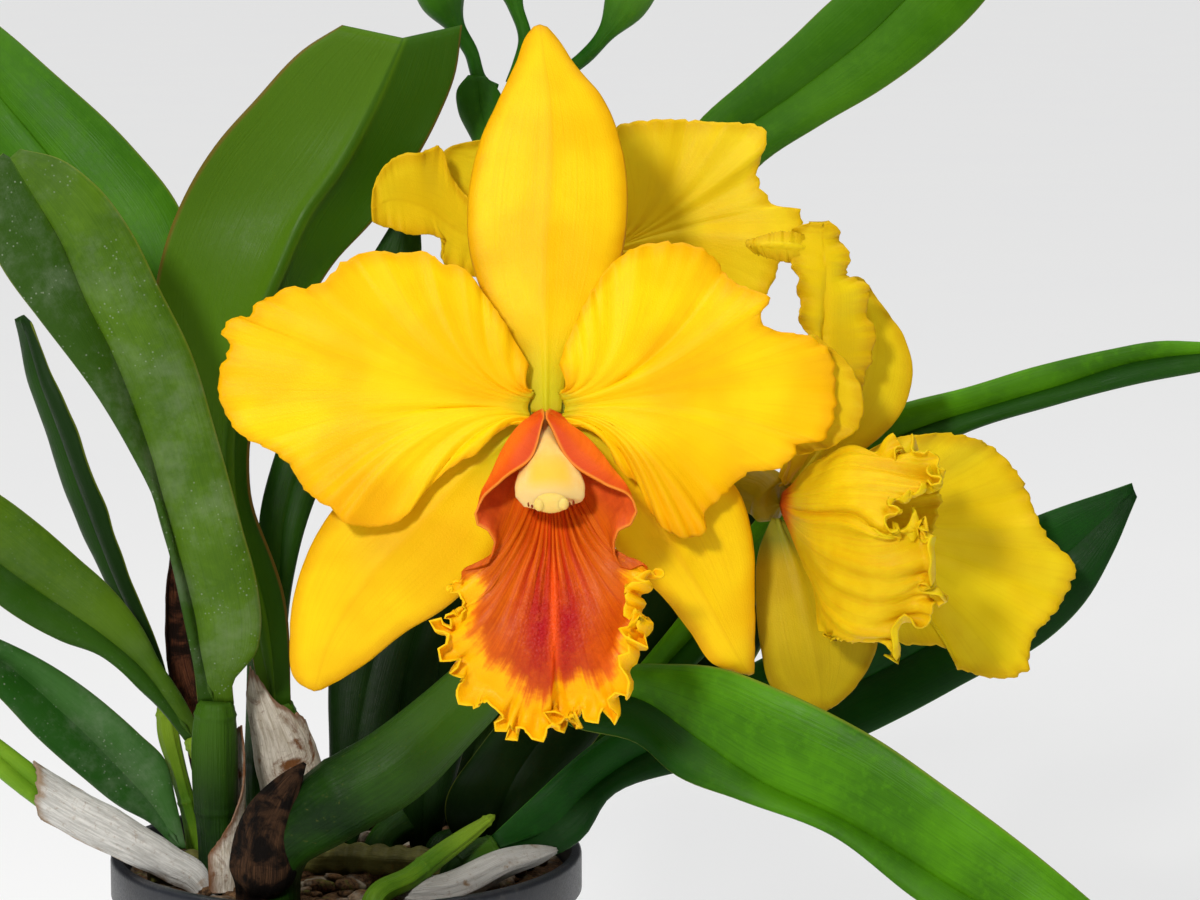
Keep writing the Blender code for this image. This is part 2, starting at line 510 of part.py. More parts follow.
def make_main_bloom():
    """The open bloom that faces front. Its ovary's knob carries the claws of the tepals."""
    blade("main_dorsal_sepal", [
        [(108.2, 100.4, 1.5), (107.4, 105, 2), (100, 118, 4), (94.4, 128, 6), (93.6, 140, 7.4),
         (96, 152, 8),
         (100, 161, 9), (103.6, 168, 10.4), (105.6, 173, 12), (107.2, 175, 12.6)],
        [(109.0, 100.4, 1.5), (109.0, 108, 2), (109, 120, 3), (109, 130, 4.4), (109.8, 140, 5.6),
         (110.2, 152, 6.8),
         (109.8, 161, 8), (108.8, 168, 9.6), (107.9, 175.6, 12.4)],
        [(109.8, 100.4, 1.5), (110.8, 105, 2), (118, 118, 4), (124, 128, 6), (125.6, 140, 7.4),
         (124.6, 150, 8),
         (120.4, 161, 9), (115.2, 167, 10.4), (111, 172.4, 12), (108.7, 175, 12.6)],
    ], TEPAL, "sepal_yellow", along=9, across=6)
    fan("main_petal_left", [(106.0, 99.6, 1.4), (105.4, 98.4, 1.4), (105.2, 97.0, 1.4)], [
        (104.4, 105.0, -0.2), (102, 122, -0.6), (94, 127, 0), (86, 129.4, 1), (75.2, 129.8, 1),
        (64.4, 123.4, 0),
        (54.6, 121, 0), (46.4, 115.0, 1), (44, 102, 2), (48, 93, 1), (57.8, 87, 0), (66.6, 78, -1),
        (74, 74.6, -1.5),
        (84.2, 80.2, -1.5), (96, 92, -1.2), (104.4, 96.6, 0)], 2.4, "petal_yellow", veins=19)
    fan("main_petal_right", [(112.8, 98.0, 1.4), (113, 99.2, 1.4), (112.4, 100.2, 1.4)], [
        (113.4, 97.0, 0), (119.8, 92.8, -1.2), (127, 83.4, -2), (135, 72.6, -2.5), (141, 75, -2),
        (149.4, 85.2, -1),
        (159, 90.4, 0), (167, 98, 2), (166, 109.4, 2), (155, 114.4, 1), (150, 122, 0), (143, 128, 0.6),
        (134, 131.4, 1), (124.2, 128.8, 0), (116.6, 118.8, -0.6),
        (112.6, 106, -0.2)], 2.4, "petal_yellow", veins=19)
    blade("main_lateral_left", [
        [(104.8, 95.4, 1.6), (94, 96, 3.4), (80, 88, 5), (66.2, 77.6, 6), (60.4, 67, 7.4),
         (57.8, 54, 9), (59.8, 43, 11),
         (61.6, 41.8, 11.6)],
        [(104.2, 94.0, 1.6), (94, 86, 2.4), (83, 74, 3.4), (73, 63, 4.8), (66, 52, 7), (62.8, 41.6, 11)],
        [(104.6, 92.4, 1.6), (99, 78, 3.4), (94, 67, 4.2), (87, 58.6, 5.4), (81, 53.4, 6.6),
         (72.6, 46.8, 8.4),
         (64.2, 41.6, 11.4)],
    ], TEPAL, "sepal_yellow", along=9, across=6)
    blade("main_lateral_right", [
        [(113.4, 92.4, 1.6), (118, 82, 3.4), (124, 69, 4.4), (133, 60, 5.4), (138, 53.6, 6.6),
         (142.6, 47.2, 8.4),
         (148.4, 45, 11)],
        [(113.8, 94.0, 1.6), (124, 84, 2.4), (133, 73, 3.4), (140, 62, 4.8), (145.6, 52, 7.6),
         (149.8, 44.8, 11)],
        [(113.2, 95.4, 1.6), (128, 95, 3.4), (140, 89, 4.6), (147.6, 82, 5.4), (150.6, 72, 7),
         (151.2, 60, 8.6),
         (151, 45.2, 11.4)],
    ], TEPAL, "sepal_yellow", along=9, across=6)
    # Each vein of the lip runs from the claw to the rim, from the left seam round to the right
    veins = [
        [(106.8, 97.6, 1.5), (107.6, 97.4, -2.4), (107.6, 97.2, -4), (107.8, 96.8, -5),
         (108.0, 96.4, -6)],
        [(106.6, 96.8, 1.5), (105.0, 95.6, -2), (102.8, 92.8, -6), (103.6, 90.4, -11),
         (106.4, 88.6, -13)],
        [(106.6, 96.0, 1.5), (103.6, 92.8, -2), (99.6, 88, -7), (98.8, 84.8, -13), (100.6, 83.8, -17)],
        [(106.6, 95.2, 1.5), (103.6, 90, -3), (99.2, 83.2, -9), (96.4, 80, -15), (95, 77.6, -18)],
        [(107.0, 94.0, 1.5), (105, 86, -5), (102, 76, -11), (99.4, 70.4, -15), (97.8, 67.6, -17)],
        [(107.8, 92.8, 1.5), (107, 83.6, -6), (103.6, 74, -12), (98, 66, -16), (91.2, 62, -15)],
        [(108.6, 92.4, 1.5), (108.2, 82.4, -6.5), (105.6, 71, -13), (98, 58, -18), (88.2, 51, -14)],
        [(109.0, 92.2, 1.5), (109.2, 81.6, -7), (108, 68, -14), (103, 52, -19), (93.2, 40.4, -13)],
        [(109.4, 92.2, 1.5), (110.2, 81.2, -7), (110.4, 67, -14), (110.4, 49, -19), (109.8, 31.8, -11)],
        [(109.8, 92.2, 1.5), (111.2, 81.6, -7), (112.8, 68, -14), (117.4, 52, -19), (124, 37.6, -13)],
        [(110.2, 92.4, 1.5), (112.2, 82.4, -6.5), (115.4, 71, -13), (122.4, 59, -18), (131, 49, -14)],
        [(111.0, 92.8, 1.5), (113.2, 83.6, -6), (117.6, 74, -12), (123.6, 66, -16), (132.8, 60, -15)],
        [(111.8, 94.0, 1.5), (114.4, 85.2, -5), (119.2, 76.4, -11), (122.4, 71, -15), (124.4, 67.6, -17)],
        [(112.2, 95.2, 1.5), (116.4, 90, -3), (122.4, 84, -9), (125.6, 81.2, -15), (127.4, 78.8, -18)],
        [(112.2, 96.0, 1.5), (116, 92.8, -2), (121.2, 88.4, -7), (122.8, 85.2, -13), (120.6, 83.4, -17)],
        [(112.2, 96.8, 1.5), (114.2, 94.8, -2), (117.6, 92, -6), (117.2, 89.6, -11), (113.6, 88.4, -13)],
        [(111.6, 97.6, 1.5), (110.6, 97.4, -2.4), (110.4, 97.0, -4), (109.8, 96.6, -5),
         (109.4, 96.2, -6)],
    ]
    blade("main_lip", veins, TEPAL, "lip_orange", along=8, across=23)
    stem("main_column", drawn((109.4, 95.4, 1.8, 1.7), (109.4, 93, -3, 2.2), (109.6, 88, -8.6, 3.4),
                              (109.8, 83.4, -13.6, 5.8), (110, 80.6, -16.4, 6.2),
                              (110.2, 78.4, -18.2, 3.4)),
         "column_cream", count=7, sides=10, flat=0.45)


def make_flower_carriers(top):
    """Ovaries and pedicels, from the node at the top of the peduncle to the knob behind each bloom.

    Those of the side and rear blooms run on through the knob into the column.
    """
    node = spot(*top)

    def pedicel(name, rows):
        path = drawn(*rows)
        away = unit(np.array(path[0][:3]) - node)
        start = node + away * (NODE_RADIUS + GAP)
        stem(name, [(*start, PEDICEL_RADIUS)] + path, "stem_green", count=0, sides=10)

    pedicel("main_ovary", [(113.4, 88, 28, 2.2), (111.8, 93.4, 20, 2.3), (110.2, 95.8, 13, 2.6),
                           (109.4, 96.2, 7, 3.4), (109.2, 96.4, 4.4, KNOB_RADIUS),
                           (109.2, 96.4, 2.3, KNOB_RADIUS)])
    pedicel("side_ovary", [(122, 84, 36.5, 2.2), (130, 84, 35, 2.2), (138, 84, 33.4, 2.2),
                           (145, 82.8, 30.4, 2.4),
                           (151, 80.8, 26.2, 2.8), (153.6, 79.8, 24.4, 4.0), (155.2, 79.3, 23.2, 4.0),
                           (155.8, 79.3, 22.8, 1.4), (159, 79.2, 20, 1.6), (163, 79.2, 16, 2.4),
                           (167, 79.4, 12, 2.8),
                           (169.6, 79.4, 9, 1.6)])
    pedicel("rear_ovary", [(114.8, 96, 48, 2.2), (115.4, 106, 59, 2.2), (116.4, 115, 66, 2.3),
                           (117.4, 125, 70, 2.6),
                           (117.4, 129.4, 66, 3.2), (117.4, 130, 62.8, KNOB_RADIUS),
                           (117.4, 130, 60.6, KNOB_RADIUS),
                           (117.4, 130, 59.6, 1.4), (117.4, 129, 55, 1.8), (117.4, 127, 50, 2.4),
                           (117.4, 124.8, 46, 2.8),
                           (117.4, 123, 43.4, 1.6)])
    stem("peduncle", stalk_seat(BULBS["bulb_front_right"], 2.6, 2.0) + drawn(
        (106, 62, 32, 2.4), (111, 74, 36, 2.6), (top[0], top[1] - 5, top[2], 2.8),
        (*top, NODE_RADIUS - 0.6)), "stem_green", count=8)


def stalk_seat(path, aside, radius):
    """The first point of a flower stalk that stands on the far end of a pseudobulb, behind its leaf."""
    centre = perch(path, 1.0, aside=aside, lift=GAP + 0.6)[1]
    return drawn((*centre, radius))


def make_side_bloom():
    """The bloom at the right, turned away, so that its lip is seen from outside."""
    fan("side_petal_upper", [(156.1, 82.4, 21.7), (156.7, 82.7, 22.1), (157.5, 82.9, 22.5)], [
        (157, 96, 15), (159, 112, 13), (158.6, 122, 12), (158, 130, 11), (161, 135.4, 12), (165.6, 135.4, 14),
        (168.6, 131.6, 15), (169, 124, 16), (169.6, 114, 18), (170.4, 104, 20), (166, 94, 21)],
        0.0, "petal_yellow", veins=15)
    fan("side_petal_far", [(157.6, 80.2, 24.7), (157.7, 79.3, 24.9), (157.6, 78.4, 24.7)], [
        (170, 88, 26), (182, 93, 28), (190, 93.4, 30), (198, 91, 32), (204.6, 84, 34), (208.4, 74, 35),
        (215, 66, 36), (213, 60, 35), (206.4, 52, 33), (205, 46, 32), (193, 46.6, 30), (191.6, 49, 29),
        (178, 52, 28), (168, 62, 26)], 0.0, "petal_yellow", veins=17)
    blade("side_dorsal_sepal", [
        [(156.9, 82.8, 24.0), (162, 92, 27), (166, 106, 29), (168, 118, 30), (169.6, 124.4, 31)],
        [(157.8, 82.3, 24.7), (166, 92, 27), (173, 106, 28), (174, 116, 29), (171.2, 124.6, 31)],
        [(158.5, 81.7, 25.3), (172.6, 90, 29), (180.4, 98, 30), (182.4, 106, 30), (180.4, 113, 30.5),
         (176, 119, 31), (172.6, 124, 31.2)],
    ], TEPAL, "sepal_yellow", along=8)
    blade("side_lateral_near", [
        [(154.4, 76.6, 21.0), (151.8, 70, 20), (151.4, 60, 18), (153, 48, 17), (158, 42, 17),
         (164, 38.6, 18)],
        [(155.3, 76.1, 21.6), (157.2, 64, 19), (158, 54, 18), (162, 44, 18), (165, 38.2, 18.4)],
        [(156.2, 76.0, 22.3), (162.6, 66, 21), (163, 56, 21), (166.6, 48, 20), (167, 42, 19),
         (166, 38.6, 18.8)],
    ], TEPAL, "sepal_yellow", along=7, across=4)
    blade("side_lateral_far", [
        [(156.6, 76.2, 23.4), (164.6, 66, 29), (168, 56, 31), (169, 46, 31), (168.2, 40.6, 30)],
        [(157.2, 76.4, 24.1), (167.6, 66, 30), (171, 57, 32), (172.4, 48, 32), (169.6, 41, 30)],
        [(157.8, 76.9, 24.7), (170.6, 66, 31), (175.6, 56, 32.6), (174.4, 49, 32), (171, 42.6, 30.4)],
    ], TEPAL, "sepal_yellow", along=7, across=4)
    veins = [
        [(157.6, 81.6, 21.9), (162, 87, 13), (170, 91, 5), (179, 89, 1), (186, 92, -1)],
        [(156.8, 81.4, 20.9), (161.4, 84, 8), (169, 87, -1), (180, 86, -5), (189, 86, -5)],
        [(156.5, 80.2, 20.1), (161, 80.4, 5), (169, 81, -6), (177, 81.6, -10), (182, 81, -11)],
        [(156.3, 79.0, 20.0), (161, 76.4, 5), (169, 76, -7), (176, 74.6, -12), (184, 76, -12)],
        [(156.5, 78.0, 20.2), (161, 72, 7), (168, 68, -4), (177, 66, -10), (188, 70, -9)],
        [(156.8, 77.2, 21.0), (161.4, 66, 12), (166, 60, 3), (174, 57, -4), (187, 61, -4)],
        [(157.6, 77.0, 21.9), (162, 64, 16), (163.8, 54, 10), (168, 52.6, 5), (178, 54, 2)],
    ]
    blade("side_lip", veins, TEPAL, "lip_orange", along=8, across=15)


def make_rear_bloom():
    """The bloom behind the main one, of which only the petals and one sepal's tip show."""
    fan("rear_petal_left", [(113.8, 130.6, 58.8), (113.6, 129.6, 58.8), (113.8, 128.6, 58.8)], [
        (108, 138, 56), (96, 141, 52), (87, 146, 50), (79, 147, 50), (75, 144, 50), (74, 140, 50),
        (74.4, 136.6, 50),
        (80, 135, 51), (87.4, 133, 52), (87, 128, 53), (96, 124, 54),
        (108, 124, 57)], 1.0, "petal_yellow", veins=15)
    fan("rear_petal_right", [(121.0, 128.6, 58.8), (121.2, 129.6, 58.8), (121.0, 130.6, 58.8)], [
        (127, 122, 57), (140, 118, 54), (153, 121, 51), (157, 130, 50), (160.4, 136, 50), (160, 138, 50),
        (155, 139, 51), (151.6, 144, 52), (153, 154, 51), (143, 155.6, 52), (130, 156, 53),
        (124, 155, 54),
        (120, 142, 57)], 1.0, "petal_yellow", veins=17)
    blade("rear_dorsal_sepal", [
        [(114.6, 132.6, 59.7), (106, 135, 60), (98, 138, 59), (90, 143, 57), (87.8, 148, 56)],
        [(115.2, 133.2, 59.7), (108, 141, 59), (101, 146, 58), (94, 149, 57), (88.8, 149.8, 56)],
        [(115.9, 133.8, 59.7), (112, 146, 60), (105, 151, 59), (96, 152, 57), (90.4, 151, 56)],
    ], TEPAL, "sepal_yellow", along=7, across=4)
    blade("rear_lateral_left", [
        [(114.8, 127.0, 59.7), (106, 122, 59), (98, 112, 58), (94, 102, 58)],
        [(115.4, 126.4, 59.7), (110, 117, 58), (103, 108, 57), (96, 101, 57.6)],
        [(116.1, 126.0, 59.7), (115, 114, 59), (109, 104, 58), (98, 100, 58)],
    ], TEPAL, "sepal_yellow", along=7, across=4)
    blade("rear_lateral_right", [
        [(118.7, 126.0, 59.7), (120, 114, 59), (126, 104, 58), (136, 100, 58)],
        [(119.4, 126.4, 59.7), (125, 117, 58), (132, 108, 57), (138, 101, 57.6)],
        [(120.0, 127.0, 59.7), (129, 122, 59), (137, 112, 58), (140, 102, 58)],
    ], TEPAL, "sepal_yellow", along=7, across=4)
    veins = [
        [(116.0, 131.8, 59.0), (113, 130, 54), (110, 127, 48), (112, 125, 43), (115, 124, 40)],
        [(115.2, 130.4, 59.0), (110, 126, 53), (106, 121, 46), (105, 118, 41), (104, 116, 38)],
        [(115.8, 128.4, 59.0), (114, 121, 53), (111, 114, 47), (108, 108, 43), (104, 104, 42)],
        [(117.4, 127.6, 59.0), (117.4, 120, 52), (117.4, 112, 46), (117.4, 104, 42), (117.4, 97, 44)],
        [(119.0, 128.4, 59.0), (121, 121, 53), (124, 114, 47), (127, 108, 43), (131, 104, 42)],
        [(119.6, 130.4, 59.0), (125, 126, 53), (129, 121, 46), (130, 118, 41), (131, 116, 38)],
        [(118.8, 131.8, 59.0), (122, 130, 54), (125, 127, 48), (123, 125, 43), (120, 124, 40)],
    ]
    blade("rear_lip", veins, TEPAL, "lip_orange", along=7, across=13)


def make_bud_spike():
    """The second spike, behind the blooms, with three buds that stand above them."""
    node = spot(101.4, 161, 72)
    stem("bud_peduncle", stalk_seat(BULBS["bulb_top_right"], -1.7, 1.4) + drawn(
        (110, 84, 82, 2.2), (106, 112, 80, 2.2), (102.4, 140, 76, 2.2), (101.6, 156, 73, 2.4),
        (101.4, 161, 72, BUD_NODE_RADIUS)), "stem_green", count=9)
    wrap("bud_sheath", drawn((103, 134, 77, 3.2), (100, 146, 75, 3.8), (97.4, 157, 74, 3.6),
                             (95.4, 163.6, 73, 2.0)), (60, 235), "leaf_green")
    heads = {
        "bud_left": [(97, 163, 71, 1.5), (94, 170, 68, 1.6), (91, 175, 66, 2.2), (88.6, 180, 65, 5.0),
                     (87, 189, 64, 5.2), (86.4, 198, 64, 2.4), (86.2, 200.4, 64, 0.8)],
        "bud_middle": [(103.8, 167, 71, 1.5), (105, 172, 70, 1.5), (103, 179, 69, 1.8),
                       (101, 186, 68, 4.4),
                       (100, 194, 67, 4.6), (99.6, 201, 66, 2.2), (99.5, 203, 66, 0.8)],
        "bud_right": [(110, 164, 70, 1.5), (117, 168.6, 68, 1.6), (121.4, 173.6, 66, 2.0),
                      (125, 179, 65, 4.6),
                      (128.6, 187, 64, 5.0), (131, 195, 64, 2.4), (131.6, 197.4, 64, 0.8)],
    }
    for name, rows in heads.items():
        path = drawn(*rows)
        away = unit(np.array(path[0][:3]) - node)
        start = node + away * (BUD_NODE_RADIUS + GAP)
        stem(name, [(*start, 1.4)] + path, "bud_green", count=11)


def build():
    for old in list(bpy.data.objects):
        bpy.data.objects.remove(old, do_unlink=True)
    make_pot()
    make_medium()
    make_rhizome()
    make_bulbs()
    make_left_leaves()
    make_right_leaves()
    make_sheaths()
    make_main_bloom()
    make_flower_carriers(top=(114.4, 84, 38))
    make_side_bloom()
    make_rear_bloom()
    make_bud_spike()


build()
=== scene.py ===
"""Looks of a potted cattleya orchid: golden blooms, frilled lips, leaves, sheaths, medium and pot.

The plant is drawn in front elevation. A drawing point is (across, up, back) in millimetres: across
and up lie on the plane of the main bloom, from the sheet's lower left corner, and back is how far
behind that plane the point is. The sheet is seen from a standpoint in front and a little above.
"""
import math

import bmesh
import bpy
import numpy as np
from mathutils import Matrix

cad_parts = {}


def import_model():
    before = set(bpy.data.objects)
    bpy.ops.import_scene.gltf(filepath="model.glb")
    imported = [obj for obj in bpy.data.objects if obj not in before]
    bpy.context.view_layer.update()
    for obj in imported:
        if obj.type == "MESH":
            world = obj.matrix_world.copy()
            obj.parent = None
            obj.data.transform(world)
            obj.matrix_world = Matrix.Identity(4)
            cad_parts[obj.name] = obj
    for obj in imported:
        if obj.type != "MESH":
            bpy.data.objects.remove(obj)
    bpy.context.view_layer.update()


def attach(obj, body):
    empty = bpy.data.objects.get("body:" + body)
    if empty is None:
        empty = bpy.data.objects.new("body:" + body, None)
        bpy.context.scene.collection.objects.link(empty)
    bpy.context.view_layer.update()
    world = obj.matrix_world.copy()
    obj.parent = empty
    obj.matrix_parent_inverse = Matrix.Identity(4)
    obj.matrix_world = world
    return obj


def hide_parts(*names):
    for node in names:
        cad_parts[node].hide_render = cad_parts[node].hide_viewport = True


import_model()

MM = 0.001
STANDPOINT = np.array([54.4, -839.7, 294.4])
REACH = 800.0
PITCH = math.radians(8.0)
AHEAD = np.array([0.0, math.cos(PITCH), -math.sin(PITCH)])
UPWARD = np.array([0.0, math.sin(PITCH), math.cos(PITCH)])
RIGHT = np.array([1.0, 0.0, 0.0])
SHEET_MIDDLE = (120.0, 90.0)

MEDIUM_TOP = 85.0
POT_HEIGHT, POT_RIM_RADIUS, POT_BASE_RADIUS = 90.0, 50.5, 37.0
POT_WALL, POT_RIM_DEPTH, POT_RIM_WALL, POT_FLOOR = 1.3, 9.0, 2.4, 2.5
DRAIN_RADIUS, DRAIN_CIRCLE, DRAIN_COUNT = 2.3, 24.0, 8


# Geometry

def world(points):
    """World places, in millimetres, of drawing points."""
    points = np.asarray(points, dtype=float)
    reach = REACH + points[..., 2:3]
    spread = reach / REACH
    return (STANDPOINT + AHEAD * reach + RIGHT * (points[..., 0:1] - SHEET_MIDDLE[0]) * spread
            + UPWARD * (points[..., 1:2] - SHEET_MIDDLE[1]) * spread)


def drawing(places):
    """Drawing points of world places, the inverse of world()."""
    ray = np.asarray(places, dtype=float) - STANDPOINT
    reach = ray @ AHEAD
    spread = reach / REACH
    return np.stack([ray @ RIGHT / spread + SHEET_MIDDLE[0], ray @ UPWARD / spread + SHEET_MIDDLE[1],
                     reach - REACH], axis=-1)


def unit(vectors):
    length = np.linalg.norm(vectors, axis=-1, keepdims=True)
    return vectors / np.maximum(length, 1e-9)


def step(low, high, x):
    """Smooth step from 0 at low to 1 at high."""
    t = np.clip((np.asarray(x, dtype=float) - low) / (high - low), 0, 1)
    return t * t * (3 - 2 * t)


def hill(x, middle, width):
    return np.exp(-((np.asarray(x) - middle) / width) ** 2)


def chord(points):
    """Fractions of a path's length at each of its points, by the first three columns."""
    at = np.concatenate([[0], np.cumsum(np.linalg.norm(np.diff(points[:, :3], axis=0), axis=1))])
    return at / at[-1]


def through(points, t, at=None):
    """Points at t of a smooth curve that passes through the control points at `at`."""
    points = np.asarray(points, dtype=float)
    at = chord(points) if at is None else np.asarray(at, dtype=float)
    slopes = np.gradient(points, at, axis=0)
    i = np.clip(np.searchsorted(at, t, side="right") - 1, 0, len(at) - 2)
    shape = (-1,) + (1,) * (points.ndim - 1)
    span = (at[i + 1] - at[i]).reshape(shape)
    s = ((np.asarray(t) - at[i]).reshape(shape)) / span
    a, b = points[i], points[i + 1]
    return ((2 * s**3 - 3 * s**2 + 1) * a + (s**3 - 2 * s**2 + s) * span * slopes[i]
            + (3 * s**2 - 2 * s**3) * b + (s**3 - s**2) * span * slopes[i + 1])


def ripple(s, wavelength, seed, octaves=2, gain=0.5):
    """A smooth irregular wave along s, about -1 to 1, with about the given wavelength."""
    rng = np.random.default_rng(seed)
    s = np.asarray(s, dtype=float)
    total = np.zeros_like(s)
    size = 1.0
    for _ in range(octaves):
        for k in range(4):
            share = rng.uniform(0.75, 1.35)
            total += size * 0.42 * np.sin(2 * np.pi * s / (wavelength * share) + rng.uniform(0, 2 * np.pi))
        wavelength /= 2.1
        size *= gain
    return total


def lumps(p, scale, seed, octaves=3):
    """Smooth value noise, -1 to 1, at places p in units of `scale`."""
    p = np.asarray(p, dtype=float) / scale
    total = np.zeros(p.shape[:-1])
    size = 1.0
    for octave in range(octaves):
        q = p * 2**octave + seed * 7.31 + octave * 3.7
        base = np.floor(q)
        f = q - base
        f = f * f * (3 - 2 * f)
        base = base.astype(np.int64)
        value = np.zeros(total.shape)
        for dx in (0, 1):
            for dy in (0, 1):
                for dz in (0, 1):
                    n = ((base[..., 0] + dx) * 73856093 ^ (base[..., 1] + dy) * 19349663
                         ^ (base[..., 2] + dz) * 83492791)
                    n = (n ^ (n >> 13)) * 1274126177
                    n = ((n ^ (n >> 16)) & 0xFFFF) / 32767.5 - 1
                    w = ((f[..., 0] if dx else 1 - f[..., 0]) * (f[..., 1] if dy else 1 - f[..., 1])
                         * (f[..., 2] if dz else 1 - f[..., 2]))
                    value += n * w
        total += value * size
        size *= 0.5
    return total


def normals(grid):
    return unit(np.cross(np.gradient(grid, axis=0), np.gradient(grid, axis=1)))


def publish(name, vertices, faces, paint, nodes=(), marks=None, smooth=True):
    """A piece from millimetre vertices, which rides on the root and stands for the CAD nodes named."""
    mesh = bpy.data.meshes.new(name)
    mesh.from_pydata((np.asarray(vertices) * MM).tolist(), [], faces)
    for key, values in (marks or {}).items():
        values = np.asarray(values, dtype=np.float32)
        kind, field = ("FLOAT_VECTOR", "vector") if values.ndim == 2 else ("FLOAT", "value")
        mesh.attributes.new(key, kind, "POINT").data.foreach_set(field, values.ravel())
    mesh.polygons.foreach_set("use_smooth", [smooth] * len(mesh.polygons))
    mesh.materials.append(paint)
    mesh.update()
    piece = bpy.data.objects.new(name, mesh)
    bpy.context.collection.objects.link(piece)
    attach(piece, "root")
    if nodes:
        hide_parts(*nodes)
    return piece


def shell(name, grid, thickness, paint, nodes=(), marks=None):
    """A closed thin sheet about a grid of world places. marks are values for each grid point.

    The sheet also gets the mark `side`, 1 on the face that its rows and columns turn towards and -1
    on the other.
    """
    rows, columns = grid.shape[:2]
    normal = normals(grid)
    half = np.broadcast_to(np.asarray(thickness, dtype=float), (rows, columns))[..., None] / 2
    front, rear = grid + normal * half, grid - normal * half
    index = np.arange(rows * columns).reshape(rows, columns)
    a, b, c, d = index[:-1, :-1], index[:-1, 1:], index[1:, 1:], index[1:, :-1]
    shift = rows * columns
    faces = np.stack([a, d, c, b], -1).reshape(-1, 4).tolist()
    faces += (np.stack([a, b, c, d], -1).reshape(-1, 4) + shift).tolist()
    border = np.concatenate([index[0], index[1:, -1], index[-1, -2::-1], index[-2:0:-1, 0]])
    after = np.roll(border, -1)
    faces += np.stack([border, after, after + shift, border + shift], -1).tolist()
    both = {key: np.concatenate([value.reshape(shift, -1)] * 2).squeeze() for key, value in (marks or {}).items()}
    both["side"] = np.repeat([1.0, -1.0], shift)
    return publish(name, np.concatenate([front.reshape(-1, 3), rear.reshape(-1, 3)]), faces, paint,
                   nodes, both)


def tube(path, sides=28, rings=60, flat=1.0, foot=False, relief=None):
    """Vertices, faces and (turn, length in mm) marks of a closed rod along (x, y, z, radius) points.

    relief(turn, share) gives the radius's change in millimetres.
    """
    t = np.linspace(0, 1, rings)
    points = through(path, t)
    places, radii = points[:, :3], points[:, 3]
    tangent = unit(np.gradient(places, axis=0))
    if foot:
        tangent[0] = (0, 0, 1)
    side = RIGHT if abs(tangent[0][0]) < 0.9 else np.array([0.0, 1.0, 0.0])
    turn = np.linspace(0, 2 * np.pi, sides, endpoint=False)
    length = np.concatenate([[0], np.cumsum(np.linalg.norm(np.diff(places, axis=0), axis=1))])
    ring_list = []
    for k in range(rings):
        side = unit(side - tangent[k] * np.dot(side, tangent[k]))
        front = np.cross(tangent[k], side)
        radius = radii[k] + (relief(turn, t[k]) if relief else 0)
        ring_list.append(places[k] + np.outer(np.cos(turn) * radius, side)
                         + np.outer(np.sin(turn) * radius * flat, front))
    vertices = np.array(ring_list).reshape(-1, 3)
    index = np.arange(rings * sides).reshape(rings, sides)
    around = np.roll(index, -1, axis=1)
    faces = np.stack([index[:-1], around[:-1], around[1:], index[1:]], -1).reshape(-1, 4).tolist()
    faces += [index[0][::-1].tolist(), index[-1].tolist()]
    place = np.stack([np.tile(turn, rings), np.repeat(length, sides), np.repeat(t, sides)], -1)
    return vertices, faces, place


def rod(name, path, paint, slot, nodes=(), reach=1.0, **options):
    """A closed rod. reach multiplies the share of length in its marks."""
    vertices, faces, place = tube(path, **options)
    place[:, 2] *= reach
    return publish(name, vertices, faces, paint, nodes, {"place": place})


def drawn(*rows):
    """Path points (x, y, z, radius) from drawing rows of across, up, back and radius."""
    rows = np.array(rows, dtype=float)
    return [tuple(row) for row in np.column_stack([world(rows[:, :3]), rows[:, 3]])]


def ground(x, y, radius):
    """A foot on top of the medium, and the point straight above it where a rod may start to lean."""
    return [(x, y, MEDIUM_TOP + 0.3, radius), (x, y, MEDIUM_TOP + 0.3 + radius, radius)]


def perch(path, half_width, aside=0.0, lift=0.5):
    """Drawing points left, middle and right of a leaf's base on the far end of a pseudobulb's path.

    aside moves the base away from the viewer across the end, and lift is its distance from it.
    """
    points = through(path, np.linspace(0, 1, 12))
    heading = unit(points[-1][:3] - points[-2][:3])
    across = unit(np.cross(AHEAD, heading) * -1)
    across = across if across[0] > 0 else -across
    away = AHEAD - heading * np.dot(AHEAD, heading)
    centre = points[-1][:3] + heading * lift + unit(away) * aside
    return [drawing(centre + across * half_width * k) for k in (-1, 0, 1)]


def towards(normal):
    """The normals of a sheet, turned to the viewer's side of it."""
    return normal * -np.sign((normal @ AHEAD).mean())


# Outlines

